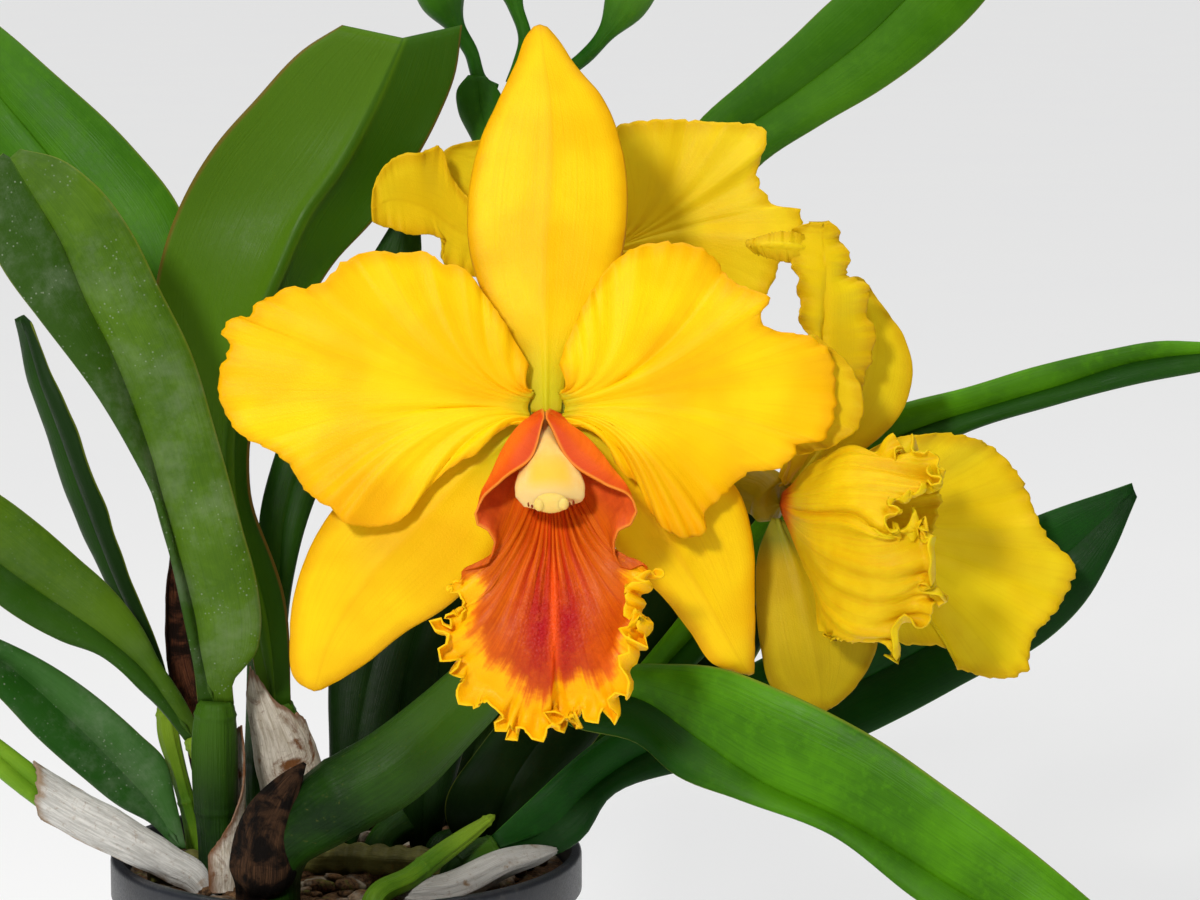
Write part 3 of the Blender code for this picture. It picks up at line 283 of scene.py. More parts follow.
# Pseudobulbs: across, up, back and radius
BULBS = {
    "bulb_front_left": ground(-26, -18.5, 4.0) + drawn(
        (43.4, 12, 42, 4.0), (43, 24, 40, 4.7), (43, 34, 38, 4.6), (43.2, 40, 36.5, 3.8)),
    "bulb_back_left": ground(-18, 0.5, 3.2) + drawn(
        (52, 20, 68, 3.4), (52.5, 40, 66, 3.4), (52.4, 60, 64, 2.8)),
    "bulb_notched": ground(-8, 3.5, 4.0) + drawn(
        (60, 20, 60, 4.8), (56.5, 32, 56, 4.6), (55.2, 39.5, 53, 3.6)),
    "bulb_slender": ground(-32, -3.6, 2.0) + drawn(
        (38.6, 14, 56, 1.8), (35.6, 26, 55, 1.8), (33.6, 34, 54.4, 2.2), (33.2, 39.6, 54, 1.8)),
    "bulb_upper_left": ground(-24, -2.5, 2.4) + drawn(
        (46, 14, 56, 2.6), (42, 26, 52, 2.6), (38.5, 33, 49, 2.2)),
    "bulb_front_right": ground(-12.5, -35, 4.6) + drawn(
        (56.4, 11, 22, 6.6), (67, 19.6, 19, 8.2), (79, 27, 18, 8.2), (89, 36, 21, 7.2),
        (97.5, 44.5, 24, 6.2),
        (101, 48.6, 25, 5.0)),
    "bulb_dark_right": ground(24, -19, 3.4) + drawn((95, 8, 42.5, 4.0), (99.6, 10.4, 43.4, 3.0)),
    "bulb_far_right": ground(20, -1.0, 3.4) + drawn(
        (96, 12, 68, 4.0), (108, 22, 66, 4.0), (117, 30.5, 65, 3.0)),
    "bulb_top_right": ground(7, 3.0, 3.4) + drawn(
        (90, 20, 72, 4.0), (102, 40, 76, 3.8), (111.5, 55, 79, 2.8)),
    "young_shoot": ground(8, -37, 2.4) + drawn(
        (82, 4.5, 28, 2.2), (88, 9, 32, 2.1), (95, 14, 38, 1.5), (99, 17, 42, 0.6)),
}

# Leaves: left edge, midrib and right edge
LEAVES = {
    "leaf_front_left": [
        [(38.6, 48, 30), (37, 56, 27), (34.4, 68, 24), (31.6, 79, 22), (26, 90, 20), (20, 100, 18),
         (8, 116, 15), (0, 127, 13), (-4.6, 137, 12), (-3, 146, 11.5), (0.6, 149.4, 11.5)],
        [(39.8, 49, 32), (38.4, 57, 30), (36, 66, 28), (33, 76, 26), (30, 88, 24), (26, 100, 22),
         (22, 110, 20), (17, 120, 17), (12, 132, 14), (6, 142, 12.5), (2, 148.5, 11.8)],
        [(46.8, 44, 33.6), (48.8, 46.4, 32.6), (51.2, 49.4, 31), (52.2, 54, 29.4), (51.6, 62, 27), (48, 76, 25), (43, 94, 22), (38, 110, 19),
         (32, 122, 16.5), (26, 134, 14), (19, 143, 12.5), (12, 148.2, 12), (4, 150.2, 11.8)]],
    "leaf_back_left": [
        [(44, 76, 66), (34, 96, 69), (24, 112, 71), (12, 130, 73), (0, 146, 75), (-10, 160, 77),
         (-17, 176, 79), (-19.4, 186.4, 80)],
        [(47, 78, 64), (38, 100, 67), (30, 118, 69), (18, 138, 71), (0, 160.6, 74), (-9, 171, 77),
         (-16, 181, 79), (-19, 187, 80)],
        [(50, 80, 66), (46, 100, 68), (41, 120, 70), (35.5, 139, 71), (26, 151, 72), (10, 166, 74),
         (0, 174.6, 76), (-10, 182, 78), (-18.2, 187.4, 80)]],
    "leaf_notched": [
        [(49, 56, 53), (41, 80, 54), (33, 108, 53), (31, 120, 52), (33, 131, 50), (37, 141, 49),
         (43, 151, 47), (51, 160, 45), (61, 170.4, 43), (68.4, 175, 42)],
        [(52.4, 56, 51), (46, 82, 50), (48, 106, 49), (56, 126, 47), (61, 137, 48), (68, 147, 47),
         (74, 158, 46), (80.6, 172.4, 43)],
        [(57, 60, 51), (50, 82, 51), (50, 92, 51), (58, 112, 53), (67, 127.6, 54), (74.4, 135.6, 54),
         (83, 148, 53), (87.4, 156, 51), (91, 165, 48), (92.4, 175, 45)]],
    "leaf_shaded": [
        [(53, 62, 59), (52, 76, 61), (56, 92, 63), (64, 112, 64), (74, 128, 64), (80, 138, 64)],
        [(56, 62, 58), (57, 76, 60), (63, 94, 62), (72, 112, 63), (79, 127, 63), (82, 137.6, 63.4)],
        [(58.4, 64, 59), (62, 78, 61), (70, 96, 63), (79, 112, 64), (84, 126, 64), (84, 137, 64)]],
    "leaf_slender": [
        [(27, 54, 57), (21, 66, 58), (16, 76, 59), (11.4, 88, 59), (7, 102, 58), (3, 116.2, 56)],
        [(29, 54, 54), (24, 65, 54), (19, 77, 53.5), (14, 90, 53), (9, 104, 52), (4.6, 117, 53)],
        [(31, 52, 51.6), (26, 64, 50.6), (19.6, 82, 49), (12.6, 99, 48), (6.2, 115.6, 51)]],
    "leaf_upper_left": [
        [(32, 38.4, 45), (27.6, 42.6, 42), (20, 49, 40), (12, 52, 38), (0, 59, 34), (-10, 69, 30),
         (-19, 84, 27)],
        [(33, 40, 45.4), (28, 46, 44), (20, 53, 42), (10, 60, 40), (0, 67, 36), (-9, 75, 32),
         (-18.6, 85.4, 27.4)],
        [(35.4, 42.2, 45.5), (32, 47.4, 44.6), (28, 55, 43), (21.6, 63, 41), (16, 68, 39), (8, 75, 36),
         (0, 81, 33), (-9, 86, 30), (-18, 87, 27)]],
    "leaf_lower_left": [
        [(30, 15.6, 49), (24, 18.8, 48), (16, 25, 46), (8, 32, 44), (0, 40.4, 40), (-9, 49, 36),
         (-17.5, 54, 33)],
        [(31, 18, 50), (24, 26, 50), (12, 38, 47), (0, 48, 43), (-9, 53, 38), (-17.6, 55, 33.4)],
        [(35, 20, 50), (33, 28, 50), (28, 33, 48), (20, 40, 46), (10, 47, 43), (0, 52, 39), (-9, 55.5, 36),
         (-17, 56.2, 33)]],
    "new_growth_leaf": [
        [(4, 21.4, 34), (0, 24.6, 32), (-8, 32, 28), (-15.5, 36.4, 25)],
        [(4, 25, 35), (0, 28.5, 33), (-8, 34.5, 29), (-15.6, 37.6, 25.4)],
        [(4, 29, 34), (0, 32, 32), (-8, 37, 28), (-15, 39, 25)]],
    "leaf_front_right": [
        [(112, 46.8, 20), (130.2, 47.2, 14), (144, 46.4, 8), (156, 42, 3), (174, 33, -3), (190, 22, -8),
         (206, 10, -12), (218, 0, -15), (228, -9, -18), (232.6, -15.4, -19.5)],
        [(113, 42.5, 22), (128.4, 40.2, 17), (140, 32, 11), (152.2, 23.2, 6), (167.8, 16, 1),
         (193.6, 0.4, -8), (212, -10, -15), (231, -17, -19.8)],
        [(112, 36, 20), (128, 31, 13), (134.8, 25.2, 9), (148, 20, 3), (166, 13.2, -3), (183.4, 0, -9),
         (198, -9, -14), (214, -16.5, -18), (229, -18.8, -20)]],
    "leaf_dark_right": [
        [(106, 20, 46), (120, 32, 48), (140, 42, 49), (160, 52, 50), (176, 60, 50), (192, 70, 49),
         (208, 77, 48), (226.4, 83.4, 46)],
        [(109, 14, 47), (118, 22, 50), (130, 30, 51), (148, 34, 52), (168, 42, 53), (184, 50, 52),
         (200, 60, 51), (215, 71, 49), (226.8, 82, 46.4)],
        [(110, 8.6, 46), (116.4, 12.2, 47), (122, 20.6, 48), (134.8, 25.4, 49), (150, 27, 50), (173, 33, 50),
         (180, 36.4, 50), (196, 45, 50), (208, 51, 49), (217, 59.6, 48), (222.4, 69, 47), (227.4, 80.6, 46)]],
    "leaf_far_right": [
        [(133, 53, 62), (148, 72, 60), (164, 90, 58), (174, 97, 57), (182, 99.6, 56), (192, 102, 54),
         (208, 106.8, 52), (222, 110, 49), (232, 111.6, 47), (240, 111.4, 46), (257.5, 110.8, 43)],
        [(136, 50, 65), (152, 68, 63), (168, 84, 62), (178, 92, 60), (188, 96, 58), (200, 99.6, 56),
         (212, 103, 54), (226, 107.6, 51), (240, 109.6, 48), (257.8, 110, 43.4)],
        [(139, 47, 62), (156, 64, 60), (171, 78, 59), (180, 86, 58), (192, 93, 56), (210, 98.8, 53),
         (228, 103.4, 49), (240, 105.6, 47), (257.5, 109, 43)]],
    "leaf_top_right": [
        [(118, 90, 84), (126, 120, 86), (140, 156, 88), (149, 164, 89), (158, 172, 90), (166.4, 180, 92),
         (178, 189, 94), (192, 197, 96), (203, 199, 98)],
        [(122, 88, 86), (132, 118, 89), (146, 151.4, 90), (160, 162, 91), (174, 173, 92), (181, 180, 93),
         (190, 188, 95), (198, 195, 97), (204, 198.4, 98)],
        [(126, 86, 84), (138, 116, 86), (152, 147, 88), (164, 155, 89), (176, 162, 90), (188, 171, 92),
         (197, 180, 94), (203, 189, 96), (205, 197.4, 98)]],
    "leaf_upright": [
        [(112, 40, 68), (100, 44, 67.5), (84, 46, 70), (70, 56, 73), (68, 72, 74), (76, 96, 74), (84, 112, 74)],
        [(113, 42, 67.5), (103, 50, 67.5), (90, 56, 70), (80, 66, 73), (79, 80, 74), (84, 98, 74),
         (87, 112.6, 74)],
        [(114, 44, 68), (106, 56, 68), (96, 64, 71), (91, 72, 73), (90, 84, 74), (91, 100, 74), (90, 112, 74)]],
}

# Sepals: lines from base to tip
SEPALS = {
    "main_dorsal_sepal": [
        [(106.2, 97.6, 1.5), (105.6, 103, 2), (104.2, 108.6, 2.6), (100.6, 114, 3.4), (96.6, 121, 4.6),
         (94, 129, 6), (93.4, 138, 7.2), (96, 152, 8), (100, 161, 9), (103.2, 168, 10.4), (105, 172.8, 12),
         (106.6, 175.1, 12.6)],
        [(109.2, 97.2, 1.3), (109.2, 107, 2), (109, 120, 3), (109, 130, 4.4), (109.8, 140, 5.6),
         (110.2, 152, 6.8), (109.8, 161, 8), (108.8, 168, 9.6), (108, 175.4, 12.4)],
        [(112.2, 97.6, 1.5), (112.8, 103, 2), (114, 108.6, 2.6), (117.4, 114, 3.4), (121.4, 121, 4.6),
         (124.4, 129, 6), (125.6, 140, 7.4), (124.6, 150, 8), (120.4, 161, 9), (115.4, 167, 10.4),
         (112, 172, 12), (109.6, 175, 12.6)]],
    "main_lateral_left": [
        [(104.8, 95.4, 1.6), (94, 96, 3.4), (80, 88, 5), (66.2, 77.6, 6), (60.4, 67, 7.4), (57.8, 54, 9),
         (59.8, 43, 11), (61.6, 41.8, 11.6)],
        [(104.2, 94, 1.6), (94, 86, 2.4), (83, 74, 3.4), (73, 63, 4.8), (66, 52, 7), (62.8, 41.6, 11)],
        [(104.6, 92.4, 1.6), (102, 78, 3.4), (97.4, 67, 4.2), (88.6, 58, 5.4), (81, 53.4, 6.6),
         (72.6, 46.8, 8.4), (64.2, 41.6, 11.4)]],
    "main_lateral_right": [
        [(113.4, 92.4, 1.6), (118, 82, 3.4), (124, 69, 4.4), (133, 60, 5.4), (138, 53.6, 6.6),
         (142.6, 47.2, 8.4), (148.4, 45, 11)],
        [(113.8, 94, 1.6), (124, 84, 2.4), (133, 73, 3.4), (140, 62, 4.8), (145.6, 52, 7.6), (149.8, 44.8, 11)],
        [(113.2, 95.4, 1.6), (128, 95, 3.4), (140, 89, 4.6), (147.6, 82, 5.4), (150.6, 72, 7),
         (151.2, 60, 8.6), (151, 45.2, 11.4)]],
    "side_dorsal_sepal": [
        [(156.9, 82.8, 24), (162, 92, 27), (166, 106, 29), (168, 118, 30), (169.6, 124.4, 31)],
        [(157.8, 82.3, 24.7), (166, 92, 27), (173, 106, 28), (174, 116, 29), (171.2, 124.6, 31)],
        [(158.5, 81.7, 25.3), (172.6, 90, 29), (180.4, 98, 30), (182.4, 106, 30), (180.4, 113, 30.5),
         (176, 119, 31), (172.6, 124, 31.2)]],
    "side_petal_upper": [
        [(156.2, 82.4, 21.7), (158, 94, 15), (163.4, 104, 14), (164, 110, 13), (160.6, 114.6, 12.4),
         (159.4, 120.4, 12), (159.6, 124, 12), (157.4, 128.6, 11.6), (158.2, 133.4, 12), (161.6, 135.6, 12.4)],
        [(156.8, 82.8, 22.1), (160, 96, 16), (164.6, 108, 13.6), (165.2, 118, 12.6), (164.6, 128, 12.8),
         (164.2, 135.6, 13)],
        [(157.4, 82.8, 22.5), (163.4, 92, 21), (171.6, 102, 19.8), (174.4, 110, 18.8), (173.4, 119, 17.6),
         (172, 123.6, 16.6), (169, 125, 16), (168.8, 131.6, 15), (165.8, 135.8, 13.8)]],
    "rear_petal_left": [
        [(113.8, 130.8, 58.8), (104, 135.6, 57), (96, 138.4, 53), (90.4, 144.6, 50), (87.4, 151, 48),
         (84.6, 149.6, 46), (80.6, 149.4, 45), (76.4, 146.4, 44.6), (74.4, 142, 44.6)],
        [(113.6, 129.6, 58.8), (102, 130.4, 57), (92, 133.6, 53), (84, 139, 48), (78, 140, 46), (74.1, 138.4, 45)],
        [(113.8, 128.4, 58.8), (104, 124, 57), (94, 125, 55), (88.4, 127.6, 52), (87.6, 132.4, 50),
         (82, 133.2, 48), (77.4, 134.4, 46.4), (74.3, 135.8, 45.4)]],
    "side_lateral_near": [
        [(154.4, 76.6, 21), (151.8, 70, 20), (151.2, 60, 18), (152.2, 50, 17), (154.2, 42.6, 17), (158, 39, 17),
         (162.6, 37.8, 17.6)],
        [(155.3, 76.1, 21.6), (160, 64, 18.6), (162.4, 54, 17.6), (164, 45, 18), (164.2, 37.6, 18)],
        [(156.2, 76, 22.3), (167, 68, 22), (173.6, 59, 23), (175.2, 51, 23), (172.8, 45.4, 22), (169, 40.6, 20),
         (165.6, 38, 18.4)]],
    "side_lateral_far": [
        [(156.6, 76.2, 23.4), (164.6, 66, 29), (168, 56, 31), (169, 46, 31), (168.2, 40.6, 30)],
        [(157.2, 76.4, 24.1), (167.6, 66, 30), (171, 57, 32), (172.4, 48, 32), (169.6, 41, 30)],
        [(157.8, 76.9, 24.7), (170.6, 66, 31), (175.6, 56, 32.6), (174.4, 49, 32), (171, 42.6, 30.4)]],
    "rear_dorsal_sepal": [
        [(114.6, 132.6, 59.7), (106, 135, 60), (98, 138, 59), (90, 143, 57), (87.8, 148, 56)],
        [(115.2, 133.2, 59.7), (108, 141, 59), (101, 146, 58), (94, 149, 57), (88.8, 149.8, 56)],
        [(115.9, 133.8, 59.7), (112, 146, 60), (105, 151, 59), (96, 152, 57), (90.4, 151, 56)]],
    "rear_lateral_left": [
        [(114.8, 127, 59.7), (106, 122, 59), (98, 112, 58), (94, 102, 58)],
        [(115.4, 126.4, 59.7), (110, 117, 58), (103, 108, 57), (96, 101, 57.6)],
        [(116.1, 126, 59.7), (115, 114, 59), (109, 104, 58), (98, 100, 58)]],
    "rear_lateral_right": [
        [(118.7, 126, 59.7), (120, 114, 59), (126, 104, 58), (136, 100, 58)],
        [(119.4, 126.4, 59.7), (125, 117, 58), (132, 108, 57), (138, 101, 57.6)],
        [(120, 127, 59.7), (129, 122, 59), (137, 112, 58), (140, 102, 58)]],
}

# Lips: veins from claw to rim, from one seam round to the other
LIPS = {
    "main_lip": [
        [(108.6, 98, 1.5), (108.9, 97.6, -2.4), (108.9, 97.4, -4), (108.9, 97, -5), (108.8, 96.4, -6)],
        [(106.6, 96.8, 1.5), (105, 95.6, -2), (102.8, 92.8, -6), (103.6, 90.4, -11), (106.4, 88.6, -13)],
        [(106.6, 96, 1.5), (103.6, 92.8, -2), (99.6, 88, -7), (98.8, 84.8, -13), (100.6, 83.8, -17)],
        [(106.6, 95.2, 1.5), (103.6, 90, -3), (99.2, 83.2, -9), (96.4, 80, -15), (95, 77.6, -18)],
        [(107, 94, 1.5), (105, 86, -5), (102, 76, -11), (99.4, 70.4, -15), (97.8, 67.6, -17)],
        [(107.8, 92.8, 1.5), (107, 83.6, -6), (103.6, 74, -12), (98, 66, -16), (91.2, 62, -15)],
        [(108.6, 92.4, 1.5), (108.2, 82.4, -6.5), (105.6, 71, -13), (98, 58, -18), (88.2, 51, -14)],
        [(109, 92.2, 1.5), (109.2, 81.6, -7), (108, 68, -14), (103, 52, -19), (93.2, 40.4, -13)],
        [(109.4, 92.2, 1.5), (110.2, 81.2, -7), (110.4, 67, -14), (110.4, 49, -19), (109.8, 31.8, -11)],
        [(109.8, 92.2, 1.5), (111.2, 81.6, -7), (112.8, 68, -14), (117.4, 52, -19), (124, 37.6, -13)],
        [(110.2, 92.4, 1.5), (112.2, 82.4, -6.5), (115.4, 71, -13), (122.4, 59, -18), (131, 49, -14)],
        [(111, 92.8, 1.5), (113.2, 83.6, -6), (117.6, 74, -12), (123.6, 66, -16), (132.8, 60, -15)],
        [(111.8, 94, 1.5), (114.4, 85.2, -5), (119.2, 76.4, -11), (122.4, 71, -15), (124.4, 67.6, -17)],
        [(112.2, 95.2, 1.5), (116.4, 90, -3), (122.4, 84, -9), (125.6, 81.2, -15), (127.4, 78.8, -18)],
        [(112.2, 96, 1.5), (116, 92.8, -2), (121.2, 88.4, -7), (122.8, 85.2, -13), (120.6, 83.4, -17)],
        [(112.2, 96.8, 1.5), (114.2, 94.8, -2), (117.6, 92, -6), (117.2, 89.6, -11), (113.6, 88.4, -13)],
        [(109.8, 98, 1.5), (109.1, 97.6, -2.4), (109.1, 97.4, -4), (109.1, 97, -5), (109.2, 96.4, -6)]],
    "side_lip": [
        [(157.6, 81.6, 21.9), (162, 87, 13), (170, 91, 5), (179, 89, 1), (186, 92, -1)],
        [(156.8, 81.4, 20.9), (161.4, 84, 8), (169, 87, -1), (180, 86, -5), (189, 86, -5)],
        [(156.5, 80.2, 20.1), (161, 80.4, 5), (169, 81, -6), (177, 81.6, -10), (182, 81, -11)],
        [(156.3, 79, 20), (161, 76.4, 5), (169, 76, -7), (176, 74.6, -12), (184, 76, -12)],
        [(156.5, 78, 20.2), (161, 72, 7), (168, 68, -4), (177, 66, -10), (188, 70, -9)],
        [(156.8, 77.2, 21), (161.4, 66, 12), (166, 60, 3), (174, 57, -4), (187, 61, -4)],
        [(157.6, 77, 21.9), (162, 64, 16), (163.8, 54, 10), (168, 52.6, 5), (178, 54, 2)]],
    "rear_lip": [
        [(116, 131.8, 59), (113, 130, 54), (110, 127, 48), (112, 125, 43), (115, 124, 40)],
        [(115.2, 130.4, 59), (110, 126, 53), (106, 121, 46), (105, 118, 41), (104, 116, 38)],
        [(115.8, 128.4, 59), (114, 121, 53), (111, 114, 47), (108, 108, 43), (104, 104, 42)],
        [(117.4, 127.6, 59), (117.4, 120, 52), (117.4, 112, 46), (117.4, 104, 42), (117.4, 97, 44)],
        [(119, 128.4, 59), (121, 121, 53), (124, 114, 47), (127, 108, 43), (131, 104, 42)],
        [(119.6, 130.4, 59), (125, 126, 53), (129, 121, 46), (130, 118, 41), (131, 116, 38)],
        [(118.8, 131.8, 59), (122, 130, 54), (125, 127, 48), (123, 125, 43), (120, 124, 40)]],
}

# Petals: claw, then margin
PETALS = {
    "main_petal_left": (
        [(106.8, 101.6, 1.0), (105.6, 98.8, 1.0), (106.4, 95.4, 1.0)],
        [(104.4, 105, -0.2), (102, 122, -0.6), (94, 127, 0), (86, 129.4, 1), (75.2, 129.8, 1),
         (64.4, 123.4, 0), (54.6, 121, 0), (46.4, 115, 1), (44, 102, 2), (48, 93, 1), (57.8, 87, 0),
         (66.6, 78, -1), (74, 74.6, -1.5), (84.2, 80.2, -1.5), (96, 92, -1.2), (104.4, 96.6, 0)]),
    "main_petal_right": (
        [(112.2, 95.4, 1.0), (113.0, 98.8, 1.0), (111.8, 101.6, 1.0)],
        [(113.4, 97, 0), (119.8, 92.8, -1.2), (127, 83.4, -2), (135, 72.6, -2.5), (141, 75, -2),
         (149.4, 85.2, -1), (159, 90.4, 0), (167, 98, 2), (166, 109.4, 2), (155, 114.4, 1), (150, 122, 0),
         (143, 128, 0.6), (134, 131.4, 1), (124.2, 128.8, 0), (116.6, 118.8, -0.6), (112.6, 106, -0.2)]),
    "side_petal_far": (
        [(157.6, 80.2, 24.7), (157.7, 79.3, 24.9), (157.6, 78.4, 24.7)],
        [(170, 88, 26), (182, 93, 28), (190, 93.4, 30), (198, 91, 32), (204.6, 84, 34), (208.4, 74, 35),
         (215, 66, 36), (213, 60, 35), (206.4, 52, 33), (205, 46, 32), (193, 46.6, 30), (191.6, 49, 29),
         (178, 52, 28), (168, 62, 26)]),
    "rear_petal_right": (
        [(121, 128.6, 58.8), (121.2, 129.6, 58.8), (121, 130.6, 58.8)],
        [(127, 122, 57), (140, 118, 54), (153, 121, 51), (157, 130, 50), (160.4, 136, 50), (160, 138, 50),
         (155, 139, 51), (151.6, 144, 52), (153, 154, 51), (143, 155.6, 52), (130, 156, 53), (124, 155, 54),
         (120, 142, 57)]),
}


# Materials

class Paint:
    """A Principled material and the nodes that drive it."""

    def __init__(self, name, **plain):
        self.material = bpy.data.materials.new(name)
        self.material.use_nodes = True
        self.tree = self.material.node_tree
        self.shader = self.tree.nodes["Principled BSDF"]
        for key, value in plain.items():
            self.shader.inputs[key.replace("_", " ")].default_value = value

    def plug(self, socket, value):
        if isinstance(value, bpy.types.NodeSocket):
            self.tree.links.new(value, socket)
        elif isinstance(value, tuple) and len(value) == 3 and socket.type == "RGBA":
            socket.default_value = (*value, 1)
        else:
            socket.default_value = value

    def node(self, kind, inputs=(), **settings):
        made = self.tree.nodes.new("ShaderNode" + kind)
        for key, value in settings.items():
            setattr(made, key, value)
        for key, value in inputs:
            self.plug(made.inputs[key], value)
        return made

    def mark(self, name, output="Fac"):
        return self.node("Attribute", attribute_name=name).outputs[output]

    def parts(self, vector):
        return self.node("SeparateXYZ", [(0, vector)]).outputs

    def vector(self, x=0.0, y=0.0, z=0.0):
        return self.node("CombineXYZ", [(0, x), (1, y), (2, z)]).outputs[0]

    def maths(self, operation, a, b=0.5, clamp=False):
        return self.node("Math", [(0, a), (1, b)], operation=operation, use_clamp=clamp).outputs[0]

    def span(self, value, low, high, first=0.0, last=1.0):
        """value mapped smoothly from low..high to first..last."""
        made = self.node("MapRange", [(0, value), (1, low), (2, high), (3, first), (4, last)],
                         interpolation_type="SMOOTHSTEP")
        return made.outputs[0]

    def noise(self, vector, scale, detail=3.0, rough=0.5, bend=0.0):
        made = self.node("TexNoise", [("Vector", vector), ("Scale", scale), ("Detail", detail),
                                      ("Roughness", rough), ("Distortion", bend)])
        return made.outputs[0]

    def cells(self, vector, scale, feature="F1"):
        return self.node("TexVoronoi", [("Vector", vector), ("Scale", scale)], feature=feature).outputs[0]

    def mix(self, share, a, b, blend="MIX"):
        made = self.node("Mix", data_type="RGBA", blend_type=blend)
        for socket, value in ((made.inputs[0], share), (made.inputs[6], a), (made.inputs[7], b)):
            self.plug(socket, value)
        return made.outputs[2]

    def room(self):
        """Places in metres."""
        return self.node("TexCoord").outputs["Object"]

    def bump(self, height, distance, strength=1.0, normal=None):
        inputs = [("Height", height), ("Distance", distance), ("Strength", strength)]
        if normal is not None:
            inputs.append(("Normal", normal))
        return self.node("Bump", inputs).outputs[0]

    def finish(self, colour, rough=None, normal=None):
        self.plug(self.shader.inputs["Base Color"], colour)
        if rough is not None:
            self.plug(self.shader.inputs["Roughness"], rough)
        if normal is not None:
            self.plug(self.shader.inputs["Normal"], normal)
        return self.material


def hue(red, green, blue):
    """A colour from its display values, 0 to 255."""
    def linear(v):
        v /= 255
        return v / 12.92 if v <= 0.04045 else ((v + 0.055) / 1.055) ** 2.4
    return linear(red), linear(green), linear(blue)


def tissue_paint(name, light, deep, rim, streaks=150, glow=0.12, green=hue(176, 186, 30)):
    """Petal tissue. Mark place is vein number (0 to 1), share of length, millimetres from the margin."""
    p = Paint(name, Subsurface_Weight=glow, Subsurface_Scale=0.002, Specular_IOR_Level=0.09)
    p.shader.inputs["Subsurface Radius"].default_value = (1.0, 0.55, 0.12)
    place = p.mark("place", "Vector")
    x, y, edge = p.parts(place)[:3]
    room = p.room()
    veins = p.noise(p.vector(p.maths("MULTIPLY", x, streaks), p.maths("MULTIPLY", y, 2.2)), 1.0, 2.0, 0.55)
    broad = p.noise(room, 55, 2.0)
    cloud = p.noise(room, 190, 4.0, 0.6)
    colour = p.mix(p.span(broad, 0.35, 0.68), light, deep)
    colour = p.mix(p.maths("MULTIPLY", p.span(veins, 0.46, 0.74), p.span(y, 0.1, 0.6, 0.03, 0.17)), colour, rim)
    colour = p.mix(p.maths("MULTIPLY", p.span(cloud, 0.5, 0.75), 0.25), colour, deep)
    border = p.span(p.maths("ADD", edge, p.maths("MULTIPLY", cloud, 3.0)), 1.2, 5.5, 0.75, 0.0)
    colour = p.mix(border, colour, rim)
    colour = p.mix(p.mark("shade"), colour, rim)
    colour = p.mix(p.mark("green"), colour, green)
    grain = p.noise(room, 3200, 2.0, 0.6)
    height = p.maths("ADD", p.maths("MULTIPLY", veins, 0.5), p.maths("MULTIPLY", grain, 0.7))
    normal = p.bump(height, 0.00016, 0.6)
    rough = p.span(grain, 0.3, 0.75, 0.5, 0.34)
    return p.finish(colour, rough, normal)


def column_paint():
    """The column. Mark place is (turn in radians, length in mm, share)."""
    p = Paint("column_look", Subsurface_Weight=0.25, Subsurface_Scale=0.002, Specular_IOR_Level=0.12)
    p.shader.inputs["Subsurface Radius"].default_value = (1.0, 0.6, 0.2)
    x, y, share = p.parts(p.mark("place", "Vector"))[:3]
    room = p.room()
    cloud = p.noise(room, 260, 4.0, 0.6)
    lines = p.noise(p.vector(p.maths("MULTIPLY", x, 5), p.maths("MULTIPLY", y, 0.08)), 1.0, 3.0)
    colour = p.mix(p.span(cloud, 0.3, 0.7), hue(244, 206, 128), hue(238, 190, 104))
    colour = p.mix(p.maths("MULTIPLY", p.span(lines, 0.5, 0.75), 0.35), colour, hue(236, 166, 88))
    front = p.span(p.maths("SINE", x), 0.55, 0.95)
    colour = p.mix(p.maths("MULTIPLY", front, p.span(share, 0.45, 0.8)), colour, hue(238, 188, 58))
    colour = p.mix(p.span(share, 0.84, 0.97), colour, hue(228, 194, 124))
    grain = p.noise(room, 2600, 2.0, 0.6)
    return p.finish(colour, p.span(grain, 0.3, 0.75, 0.5, 0.32), p.bump(grain, 0.0001, 0.6))


